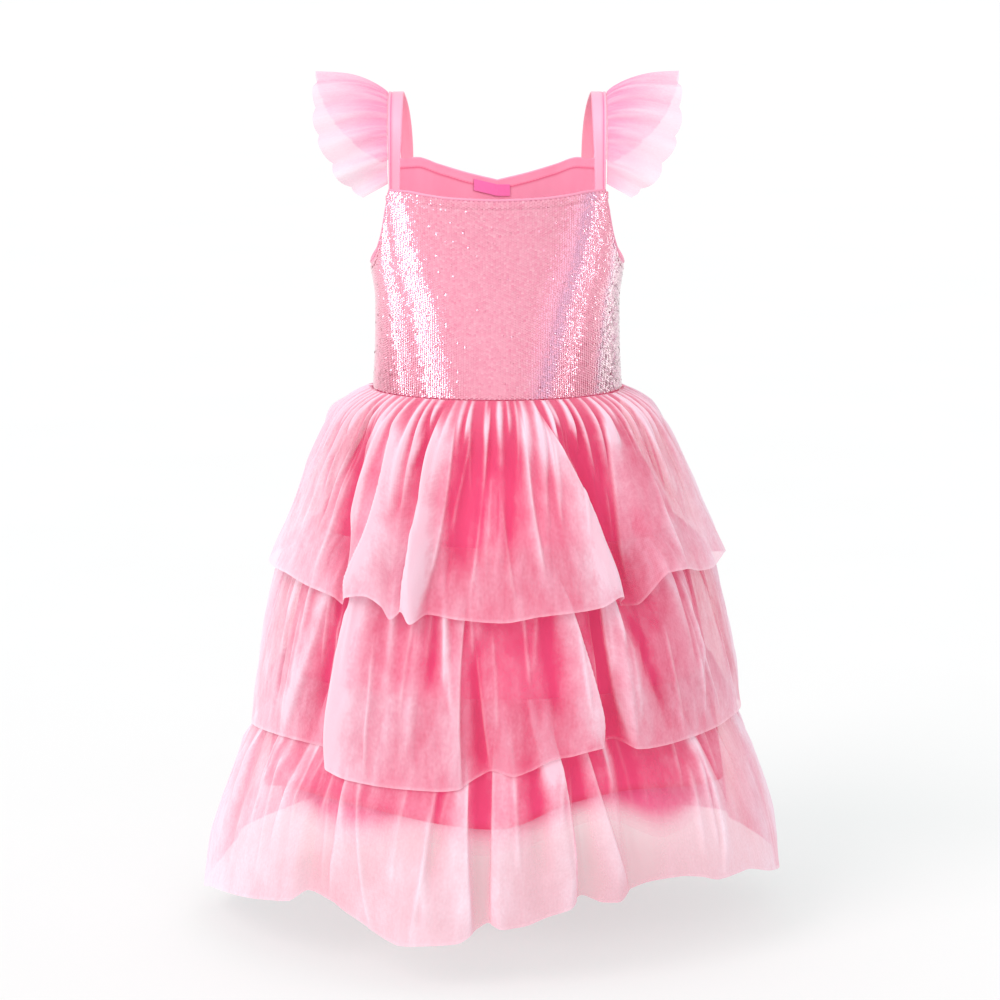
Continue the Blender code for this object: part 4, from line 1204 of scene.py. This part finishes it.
def stitch_groove_shade_marks(rows):
    """Marks of a back panel: painted shade, darker in the groove where its hem is stitched."""
    return {
        "hem": [
            [stitch_groove(below, 0.8 * MM)] * len(row) for below, row in zip(PANEL_SPACING, rows)
        ]
    }


PINK_JERSEY = Satin(
    dark=(0.95, 0.300, 0.460, 1.0), light=(0.98, 0.410, 0.570, 1.0), roughness=0.5, sheen=0.3,
    thread=0.7 * MM,
)
STRAP_SATIN = Satin(
    dark=(0.96, 0.285, 0.415, 1.0), light=(0.98, 0.405, 0.530, 1.0), roughness=0.38, sheen=0.4,
    thread=0.5 * MM,
)
LABEL_SATIN = Satin(
    dark=(0.95, 0.15, 0.46, 1.0), light=(0.98, 0.27, 0.58, 1.0), roughness=0.4, sheen=0.1,
    thread=0.35 * MM,
)


def front_relief(below):
    """How far the front cloth stands proud of the solid's outer face: its turned hem is thicker."""
    hem = 1.0 - ease((below - 6.5 * MM) / (2.0 * MM))
    return -0.6 * MM + 0.35 * MM * hem - 0.35 * MM * stitch_groove(below, 0.9 * MM)


def back_relief(below):
    """The back cloth's outer face: a shallow groove where its hem is stitched."""
    return -0.2 * MM - 0.3 * MM * stitch_groove(below, 0.9 * MM)


def bodice_cloths():
    """Front panel under the sequins and the two back panels."""
    # The darker jersey colour is painted shade in the stitched groove of the back panels
    jersey = satin_material("bodice jersey", (0.32, 0.19), PINK_JERSEY, (0.86, 0.13, 0.27, 1.0))
    rows = edge_rows(-89.97, 89.97, 180, front_relief)
    front = grid_cloth("bodice_front_cloth", rows, False, flat_marks(rows))
    thicken(front, FRONT_CLOTH)
    finish_piece(front, jersey)
    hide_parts("bodice_front")
    backs = []
    for name, first, last in (("right", 90.03, 179.985), ("left", 180.015, 269.97)):
        rows = edge_rows(first, last, 100, back_relief)
        back = grid_cloth("bodice_back_" + name + "_cloth", rows, False, stitch_groove_shade_marks(rows))
        thicken(back, BACK_CLOTH)
        finish_piece(back, jersey)
        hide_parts("bodice_back_" + name)
        backs.append(back)
    return front, backs


def arc_angles(height, first, last, pitch):
    """Angles at an even pitch along the bodice at a height."""
    angles = [first]
    half_width = curve_value(HALF_WIDTHS, height)
    half_depth = curve_value(HALF_DEPTHS, height)
    while angles[-1] < last:
        turn = math.radians(angles[-1])
        speed = math.hypot(half_width * math.cos(turn), half_depth * math.sin(turn))
        angles.append(angles[-1] + math.degrees(pitch / speed))
    return angles


def sequin_form():
    """One sequin, slightly cupped, as the corners of its rim round its middle."""
    bpy.ops.mesh.primitive_circle_add(
        vertices=SEQUIN_SIDES, radius=SEQUIN_RADIUS, fill_type="TRIFAN", location=(0.0, 0.0, 0.0)
    )
    corners, faces = take_form(bpy.context.object)
    for corner in corners:
        corner.z = SEQUIN_CUP if corner.length < 0.1 * SEQUIN_RADIUS else 0.0
    return corners, faces


def share_down(height):
    """Share of the way from the front neck corner down to the waist."""
    return (FRONT_NECK_CORNER_HEIGHT - height) / (FRONT_NECK_CORNER_HEIGHT - WAIST_HEIGHT)


def painted_glint_at(angle, height, chance):
    """Painted reflection on the sequins, from 0 for plain pink to 1 for pale green: a slanting
    lavender band and pale green towards the right side.
    """
    down = share_down(height)
    lavender = math.exp(-(((angle - lerp(47.0, 21.0, down)) / 6.5) ** 2)) * 0.55
    green = ease((angle - lerp(62.0, 44.0, down)) / 14.0) * 0.95
    share = max(lavender, green)
    return min(share * chance.choice((0.5, 0.8, 1.0, 1.0, 1.0)), 1.0)


def sequin_spread(chance, angle, below):
    """How unevenly a sequin hangs: strays, the shaded side and the hem hang less evenly."""
    spread = 5.0 if chance.random() < SEQUIN_STRAYS else 1.0
    if angle > 50.0:
        spread = max(spread, 2.6)
    if below < HEM_BAND:
        spread = max(spread, 2.2)
    return spread


def sequins():
    """All the sequins of the front panel, in columns, each hung from its upper edge."""
    form = sequin_form()
    chance = random.Random(116)
    points = []
    cells = []
    tones = []
    painted_glints = []
    angles = arc_angles(
        SEQUIN_MIDDLE_HEIGHT, -SEQUIN_SIDE_ANGLE, SEQUIN_SIDE_ANGLE, SEQUIN_PITCH_ACROSS
    )
    for number, angle in enumerate(angles):
        top = top_edge_height(angle)
        stagger = 0.5 * SEQUIN_PITCH_DOWN * (number % 2)
        start = lerp(2.0, 5.0, ease((abs(angle) - 59.0) / 6.0)) * MM
        for row in range(int((top - WAIST_HEIGHT - 1.2 * MM) / SEQUIN_PITCH_DOWN) + 1):
            height = top - start - row * SEQUIN_PITCH_DOWN - stagger
            if height < WAIST_HEIGHT + 1.0 * MM:
                continue
            here = angle + chance.gauss(0.0, 0.05)
            out = front_relief(top - height) + SEQUIN_STANDOFF
            ahead = bodice_point(here + 0.5, height, -out) - bodice_point(here - 0.5, height, -out)
            upward = (
                bodice_point(here, height + 1.0 * MM, -out)
                - bodice_point(here, height - 1.0 * MM, -out)
            )
            side = ahead.normalized()
            up = (upward - side * upward.dot(side)).normalized()
            normal = side.cross(up)
            spread = sequin_spread(chance, here, top - height) * SEQUIN_TILT
            lean = math.radians(SEQUIN_LEAN + chance.gauss(0.0, spread))
            yaw = SEQUIN_YAW * (1.0 - 2.0 * share_down(height))
            yaw *= -math.tanh(here / 18.0) * (1.0 - ease((abs(here) - 52.0) / 30.0))
            tilt = math.radians(yaw + chance.gauss(0.0, spread))
            hung = up * math.cos(lean) - normal * math.sin(lean)
            face = normal * math.cos(lean) + up * math.sin(lean)
            across = side * math.cos(tilt) - face * math.sin(tilt)  # turns the face towards +X
            axes = (across, hung, across.cross(hung))
            add_copy(points, cells, form, bodice_point(here, height, -out), axes)
            corner_count = len(form[0])
            tones.extend([min(max(0.5 + chance.gauss(0.0, 0.15), 0.0), 1.0)] * corner_count)
            # Painted reflection: lavender and pale green glint bands in the sequins' colour
            painted_glints.extend([painted_glint_at(here, height, chance)] * corner_count)
    mesh = bpy.data.meshes.new("sequins")
    mesh.from_pydata(points, [], cells)
    for name, values in (("tone", tones), ("film", painted_glints)):
        mesh.attributes.new(name, "FLOAT", "POINT").data.foreach_set("value", values)
    return finish_piece(link_object("sequins", mesh), sequin_material())


# Straps, sleeves and small pieces


def across_bodice(angle):
    """Level direction along the bodice wall at an angle, pointing away from the middle."""
    section = BODICE_SECTIONS[-2]
    turn = math.radians(angle)
    along = Vector((section.half_width * math.cos(turn), section.half_depth * math.sin(turn), 0.0))
    return along.normalized() if along.x > 0.0 else -along.normalized()


def strap_frame(along):
    """Centre, width direction, path direction and outward normal of the strap at +X."""
    middle = BODICE_WALL / 2.0
    front = bodice_point(STRAP_FRONT_ANGLE, FRONT_NECK_CORNER_HEIGHT + SEAM_GAP, middle)
    back = bodice_point(180.0 - STRAP_BACK_ANGLE, BACK_NECK_CORNER_HEIGHT + SEAM_GAP, middle)
    top = Vector((STRAP_TOP_X, STRAP_TOP_Y, -STRAP_WALL / 2.0))
    over = Vector((1.0, 0.0, 0.0))
    if along <= 0.5:
        share = along * 2.0
        start, end, end_across = front, top, over
        start_across = across_bodice(STRAP_FRONT_ANGLE)
    else:
        share = along * 2.0 - 1.0
        start, end, start_across = top, back, over
        end_across = across_bodice(180.0 - STRAP_BACK_ANGLE)
    rise = Vector((0.0, 0.0, end.z - start.z)) * ARCH_FULLNESS
    run = Vector((0.0, end.y - start.y, 0.0)) * ARCH_FULLNESS
    slopes = (rise, run) if along <= 0.5 else (run, rise)
    centre = hermite(start, slopes[0], end, slopes[1], share)
    ahead = hermite(start, slopes[0], end, slopes[1], min(share + 0.01, 1.0))
    behind = hermite(start, slopes[0], end, slopes[1], max(share - 0.01, 0.0))
    path = (ahead - behind).normalized()
    turn = share * share * (3.0 - 2.0 * share)
    across = start_across.lerp(end_across, turn)
    across = (across - path * across.dot(path)).normalized()
    return centre, across, path, across.cross(path)


# Cross-section of a strap: place across, from -1 to 1 at the outer edge, and height above its
# middle in millimetres
STRAP_OUTLINE = (
    (-1.00, 0.0), (-0.985, 0.55), (-0.93, 0.95), (-0.82, 1.10), (-0.66, 1.05), (-0.30, 0.95),
    (0.10, 0.95), (0.42, 0.85), (0.54, 0.30), (0.60, 0.28), (0.68, 0.85), (0.80, 1.05),
    (0.93, 0.85), (1.00, 0.0), (0.90, -0.65), (0.30, -0.70), (-0.40, -0.70), (-0.92, -0.60),
)
# How far the strap's colour is darkened with painted shade: full in the seam groove, less along its
# rolled edges
STRAP_GROOVE_AND_EDGE_SHADE = {0.54: 1.0, 0.60: 1.0, 0.42: 0.25, 0.68: 0.25, -0.93: 0.3, -0.985: 0.4, 1.00: 0.6}
STRAP_STEPS = 90


def strap(name, side, material):
    """Satin strap with a rolled edge and a seam groove beside the sleeve, both painted darker as
    shade.
    """
    turned = 1 if side < 0.0 else -1
    rows = []
    for step in range(STRAP_STEPS + 1):
        centre, across, _, normal = strap_frame(step / STRAP_STEPS)
        row = []
        for place, height in STRAP_OUTLINE:
            point = centre + across * (STRAP_WIDTH / 2.0 * place) + normal * (height * MM)
            row.append(Vector((point.x * side, point.y, point.z)))
        rows.append(row[::turned])
    seam = [STRAP_GROOVE_AND_EDGE_SHADE.get(place, 0.0) for place, _ in STRAP_OUTLINE][::turned]
    piece = grid_cloth(name + "_satin", rows, True, {"hem": [seam] * len(rows)})
    finish_piece(piece, material)
    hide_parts(name)


def sleeve_wave(along, out, seed):
    """Offset of the sleeve's face, its wave, its scallop and its pleat at a place."""
    run = (along - SLEEVE_START) / (SLEEVE_END - SLEEVE_START)
    wander = 1.2 * noise.noise(Vector((run * 7.0, 0.0, seed)))
    phase = 2.0 * math.pi * SLEEVE_WAVES * run + wander
    broad = math.cos(phase)
    lobe = 2.0 * abs(math.cos(0.5 * phase)) - 1.0
    crest = ease((0.5 - abs(along - 0.5)) / 0.36)
    scallop = lerp(SLEEVE_SCALLOPS[0], SLEEVE_SCALLOPS[1], crest) * lobe * out * out
    size = 1.0 + 0.6 * noise.noise(Vector((run * 5.0, 4.0, seed)))
    edge_wave = lerp(SLEEVE_EDGE_WAVES[0], SLEEVE_EDGE_WAVES[1], crest)
    wave = lerp(SLEEVE_ROOT_WAVE, edge_wave, out) * broad * size
    pleat = noise.noise(Vector((run * 34.0, out * 1.2, seed + 5.0)))
    pleat += 0.5 * noise.noise(Vector((run * 75.0, out * 2.0, seed)))
    pleat_depth = SLEEVE_PLEAT * (1.0 - 0.88 * ease(out / 0.9)) * min(out * 12.0, 1.0)
    return wave + pleat_depth * pleat, broad, scallop, 0.5 + 0.75 * pleat


def flutter_sleeve(name, side, material):
    """Gathered tulle sleeve that stands out from the strap's outer edge."""
    seed = 3.0 if side > 0.0 else 8.0
    swell = SLEEVE_WALL / 2.0 + SLEEVE_ROOT_WAVE * 1.3
    cloth = []
    for row_number in range(SLEEVE_ROWS + 1):
        out = row_number / SLEEVE_ROWS
        root_share = 0.35 + 0.65 * (1.0 - ease(out / 0.85))
        near_root = 1.0 - ease(out / 0.95)
        hem = 0.35 if out > 0.985 else 0.0
        row = []
        for column in range(SLEEVE_COLUMNS + 1):
            along = lerp(SLEEVE_START, SLEEVE_END, column / SLEEVE_COLUMNS)
            centre, across, path, _ = strap_frame(along)
            rise = math.radians(curve_value(SLEEVE_RISES, along))
            turn = math.radians(curve_value(SLEEVE_TURNS, along))
            flat = math.cos(rise)
            away = Vector((flat * math.cos(turn), -flat * math.sin(turn), math.sin(rise)))
            face = away.cross(path).normalized()
            root_out = STRAP_WIDTH / 2.0 + SEAM_GAP + swell * abs(face.dot(across))
            wave, broad, scallop, pleat = sleeve_wave(along, out, seed)
            reach = curve_value(SLEEVE_LENGTHS, along) * out * (1.0 + scallop)
            point = centre + across * root_out + away * reach + face * wave
            crown = math.sin(math.pi * along) ** 2 * math.sin(math.pi * out ** 0.8)
            point.z += SLEEVE_CROWN * crown
            # Painted light and shade: the ridge mark is paler on the crests of the waves and
            # pleats, and the gather mark deeper pink in the pleat hollows near the root, in part
            # also the denser gathered net there
            ridge = 0.55 + 0.16 * broad * out + 0.45 * (pleat - 0.5) * root_share
            row.append(ClothPoint(
                Vector((point.x * side, point.y, point.z)), min(max(ridge, 0.0), 1.0),
                near_root * min(max(1.35 - 0.9 * pleat, 0.0), 1.0), hem, 0.0, 1.0,
            ))
        cloth.append(row if side > 0.0 else row[::-1])
    rows, marks = rows_and_marks(cloth)
    piece = grid_cloth(name + "_tulle", rows, False, marks)
    finish_piece(piece, material)
    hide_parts(name)


LABEL_ROWS = 8
LABEL_COLUMNS = 40
LABEL_ANGLES = (174.0, 191.2)
LABEL_HEIGHT = 0.011


def neck_label():
    """Plain folded label inside the back neck, sewn on at both ends."""
    rows = []
    for step in range(LABEL_ROWS + 1):
        down = step / LABEL_ROWS
        row = []
        for column in range(LABEL_COLUMNS + 1):
            share = column / LABEL_COLUMNS
            angle = lerp(LABEL_ANGLES[0], LABEL_ANGLES[1], share)
            height = top_edge_height(max(angle, 180.0)) - 3.3 * MM - down * LABEL_HEIGHT
            fold = math.exp(-(((share - 0.40) / 0.045) ** 2)) * 0.5 * MM
            curl = 0.35 * MM * math.sin(math.pi * share) * down
            row.append(bodice_point(angle, height, BODICE_WALL + 0.9 * MM + fold + curl))
        rows.append(row[::-1])
    piece = grid_cloth("neck_label_satin", rows, False, flat_marks(rows))
    thicken(piece, 0.4 * MM)
    finish_piece(piece, satin_material("label satin", (0.026, 0.011), LABEL_SATIN))
    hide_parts("neck_label")


EDGE_INSET = 0.5 * MM
EDGE_RADIUS = 1.2 * MM
EDGE_SIDES = 10
STITCH_HALF_LENGTH = 1.15 * MM
STITCH_RADIUS = 0.22 * MM
STITCH_PITCH = 3.2 * MM


def rolled_edge(name, first, last):
    """Narrow rolled hem along the top edge of the bodice, with closed ends."""
    steps = round((last - first) / 1.2)
    angles = [lerp(first, last, step / steps) for step in range(steps + 1)]
    centres = [bodice_point(angle, top_edge_height(angle), EDGE_INSET) for angle in angles]
    rows = []
    for index, centre in enumerate(centres):
        path = (centres[min(index + 1, steps)] - centres[max(index - 1, 0)]).normalized()
        outward = Vector((centre.x, centre.y, 0.0)).normalized()
        outward = (outward - path * outward.dot(path)).normalized()
        up = path.cross(outward)
        size = EDGE_RADIUS * (0.02 if index in (0, steps) else 1.0)
        ring = []
        for corner in range(EDGE_SIDES):
            turn = 2.0 * math.pi * corner / EDGE_SIDES
            ring.append(centre + outward * (math.cos(turn) * size) + up * (math.sin(turn) * size))
        rows.append(ring)
    return grid_cloth(name, rows, True, flat_marks(rows))


def stitch_form():
    """One stitch as a short rounded capsule along X."""
    bpy.ops.mesh.primitive_uv_sphere_add(
        segments=8, ring_count=5, radius=1.0, location=(0.0, 0.0, 0.0)
    )
    corners, faces = take_form(bpy.context.object)
    return [
        Vector((corner.z * STITCH_HALF_LENGTH, corner.x * STITCH_RADIUS, corner.y * STITCH_RADIUS))
        for corner in corners
    ], faces


def stitch_line(name, runs):
    """Rows of stitches: each run is a list of points on the cloth with its outward direction."""
    form = stitch_form()
    points = []
    cells = []
    for run in runs:
        for (here, outward), (after, _) in zip(run, run[1:]):
            path = (after - here).normalized()
            out = (outward - path * outward.dot(path)).normalized()
            add_copy(points, cells, form, here, (path, path.cross(out), out))
    mesh = bpy.data.meshes.new(name)
    mesh.from_pydata(points, [], cells)
    mesh.polygons.foreach_set("use_smooth", [True] * len(mesh.polygons))
    return link_object(name, mesh)


def thread_material():
    """Sewing thread: pink, with a fine twist."""
    material, tree, shader = new_material("sewing thread")
    place = put(tree, "ShaderNodeTexCoord").outputs["Object"]
    twist = cloudy(tree, place, (1500.0, 1500.0, 1500.0), 2.0)
    colour = mixed(tree, twist, (0.86, 0.26, 0.40, 1.0), (0.97, 0.46, 0.58, 1.0))
    join(tree, colour, shader.inputs["Base Color"])
    shader.inputs["Roughness"].default_value = 0.5
    add_bump(tree, shader, twist, 0.3, 0.05 * MM)
    return material


def edge_run(first, last, below, inset, outwards):
    """Places of stitches along the bodice's top edge, a little below it."""
    run = []
    angle = first
    while angle < last:
        point = bodice_point(angle, top_edge_height(angle) - below, inset)
        run.append((point, Vector((point.x, point.y, 0.0)).normalized() * outwards))
        ahead = bodice_point(angle + 0.2, top_edge_height(angle + 0.2) - below, inset)
        angle += 0.2 * STITCH_PITCH / (ahead - point).length
    return run


def top():
    """Bodice, its sequins, edges and stitches, straps, sleeves and label."""
    front, (right, left) = bodice_cloths()
    sparkle = sequins()
    jersey = bpy.data.materials["bodice jersey"]
    front_edge, right_edge, back_edge, left_edge = (
        finish_piece(rolled_edge(name, first, last), jersey)
        for name, first, last in (
            ("front_neck_edge", -58.3, 58.3), ("right_armhole_edge", 59.0, 126.6),
            ("back_neck_edge", 127.2, 232.8), ("left_armhole_edge", 233.4, 301.0),
        )
    )
    runs = [
        edge_run(127.5, 179.0, 8.0 * MM, 2.0 * MM, -1.0),
        edge_run(181.0, 232.5, 8.0 * MM, 2.0 * MM, -1.0),
        edge_run(127.5, 232.5, 8.0 * MM, 0.2 * MM, 1.0),
        edge_run(92.0, 125.0, 5.0 * MM, 0.2 * MM, 1.0),
        edge_run(235.0, 268.0, 5.0 * MM, 0.2 * MM, 1.0),
    ]
    stitches = finish_piece(stitch_line("neck_stitches", runs), thread_material())
    # The darker strap colour is painted shade in the seam groove and along the rolled edges
    satin = satin_material("strap satin", (0.032, 0.24), STRAP_SATIN, (0.88, 0.16, 0.32, 1.0))
    tulle = tulle_material("sleeve tulle", (0.62, 0.08), SLEEVE_TULLE)
    for name, side in (("left", -1.0), ("right", 1.0)):
        strap("strap_" + name, side, satin)
        flutter_sleeve("sleeve_ruffle_" + name, side, tulle)
    neck_label()


# Studio


def place_object(name, data, location, aim):
    """Camera or light at a place, looking at another."""
    item = link_object(name, data)
    item.location = location
    item.rotation_euler = (aim - location).to_track_quat("-Z", "Y").to_euler()
    return item


def direction(azimuth, elevation):
    """Way from the dress towards a place round it, 0 at the front and 90 at the side at +X."""
    turn = math.radians(azimuth)
    rise = math.radians(elevation)
    level = math.cos(rise)
    return Vector((math.sin(turn) * level, -math.cos(turn) * level, math.sin(rise)))


def camera():
    """Camera at the photograph's viewing angle."""
    data = bpy.data.cameras.new("camera")
    data.lens = CAMERA_LENS
    data.sensor_width = 36.0
    data.clip_end = 100.0
    location = CAMERA_AIM + direction(0.0, CAMERA_ELEVATION) * CAMERA_DISTANCE
    bpy.context.scene.camera = place_object("camera", data, location, CAMERA_AIM)


# Strips only show as glints on the sequins, the key and the surround give the soft light
Strip = namedtuple("Strip", "name azimuth distance height width tall watts colour")
STRIPS = named_rows(Strip, (
    ("left strip", -63.0, 1.9, 0.1, 0.28, 1.6, 13.5, (1.0, 0.98, 1.0)),
    ("left edge strip", -96.0, 1.9, 0.1, 0.20, 1.6, 9.5, (1.0, 1.0, 1.0)),
    ("right lavender strip", 46.0, 2.0, 0.1, 0.34, 1.6, 2.2, (0.74, 0.68, 1.0)),
    ("right strip", 67.0, 2.0, 0.1, 0.07, 1.6, 4.5, (1.0, 1.0, 1.0)),
    ("right edge strip", 108.0, 2.0, 0.1, 0.44, 1.6, 4.4, (0.88, 1.0, 0.94)),
))
KEY_AZIMUTH = -48.0
KEY_ELEVATION = 42.0
KEY_STRENGTH = 1.28
KEY_ANGLE = 32.0
SURROUND = 0.90
INSIDE_FILL = 7.0
INSIDE_FILL_PLACE = Vector((0.62, -0.85, 0.55))
INSIDE_FILL_AIM = Vector((0.0, 0.08, -0.10))
STRIP_AIM = Vector((0.0, 0.0, -0.35))
FLOOR_HEIGHT = -0.7785


def lit_by_itself(name, pieces):
    """Collection of the pieces that one light alone falls on."""
    lit = bpy.data.collections.new(name)
    for piece in pieces:
        lit.objects.link(bpy.data.objects[piece])
    return lit


def studio():
    """Pale floor, soft boxes and an even white surround."""
    bpy.ops.mesh.primitive_plane_add(size=60.0, location=(0.0, 0.0, FLOOR_HEIGHT))
    floor = bpy.context.object
    floor.name = "floor"
    material, tree, shader = new_material("white floor")
    place = put(tree, "ShaderNodeTexCoord").outputs["Object"]
    grain = cloudy(tree, place, (3.0, 3.0, 3.0), 2.0)
    colour = mixed(tree, grain, (0.43, 0.35, 0.36, 1.0), (0.45, 0.37, 0.38, 1.0))
    join(tree, colour, shader.inputs["Base Color"])
    set_inputs(shader, {
        "Roughness": 0.9, "Specular IOR Level": 0.1, "Emission Color": (0.83, 1.0, 0.98, 1.0),
        "Emission Strength": 0.57,
    })
    floor.data.materials.append(material)
    glossy = lit_by_itself("glossy", ("sequins",))
    for box in STRIPS:
        data = bpy.data.lights.new(box.name, "AREA")
        data.color = box.colour
        data.shape = "RECTANGLE"
        data.size = box.width
        data.size_y = box.tall
        data.energy = box.watts
        location = direction(box.azimuth, 0.0) * box.distance
        location.z = box.height
        light = place_object(box.name, data, location, STRIP_AIM)
        light.visible_diffuse = False
        light.visible_transmission = False
        light.light_linking.receiver_collection = glossy
    data = bpy.data.lights.new("key", "SUN")
    data.energy = KEY_STRENGTH
    data.angle = math.radians(KEY_ANGLE)
    place_object("key", data, direction(KEY_AZIMUTH, KEY_ELEVATION) * 3.0, Vector((0.0, 0.0, 0.0)))
    data = bpy.data.lights.new("inside fill", "AREA")
    data.size = 0.5
    data.energy = INSIDE_FILL
    fill = place_object("inside fill", data, INSIDE_FILL_PLACE, INSIDE_FILL_AIM)
    fill.light_linking.receiver_collection = lit_by_itself("inside", (
        "bodice_back_left_cloth", "bodice_back_right_cloth", "neck_label_satin", "neck_stitches",
        "back_neck_edge", "strap_left_satin", "strap_right_satin",
    ))
    world = bpy.data.worlds.new("studio")
    bpy.context.scene.world = world
    world.use_nodes = True
    tree = world.node_tree
    surround = tree.nodes["Background"]
    backdrop = put(tree, "ShaderNodeBackground")
    for node, strength in ((surround, SURROUND), (backdrop, 1.0)):
        set_inputs(node, {"Color": (1.0, 1.0, 1.0, 1.0), "Strength": strength})
    seen = put(tree, "ShaderNodeLightPath").outputs["Is Camera Ray"]
    both = put(tree, "ShaderNodeMixShader")
    join(tree, seen, both.inputs[0])
    join(tree, surround.outputs[0], both.inputs[1])
    join(tree, backdrop.outputs[0], both.inputs[2])
    join(tree, both.outputs[0], tree.nodes["World Output"].inputs["Surface"])
    bpy.context.scene.view_settings.view_transform = "Standard"
    cycles = bpy.context.scene.cycles
    cycles.max_bounces = 8
    cycles.diffuse_bounces = 3
    cycles.glossy_bounces = 2
    cycles.transparent_max_bounces = 24


camera()
skirt()
top()
studio()
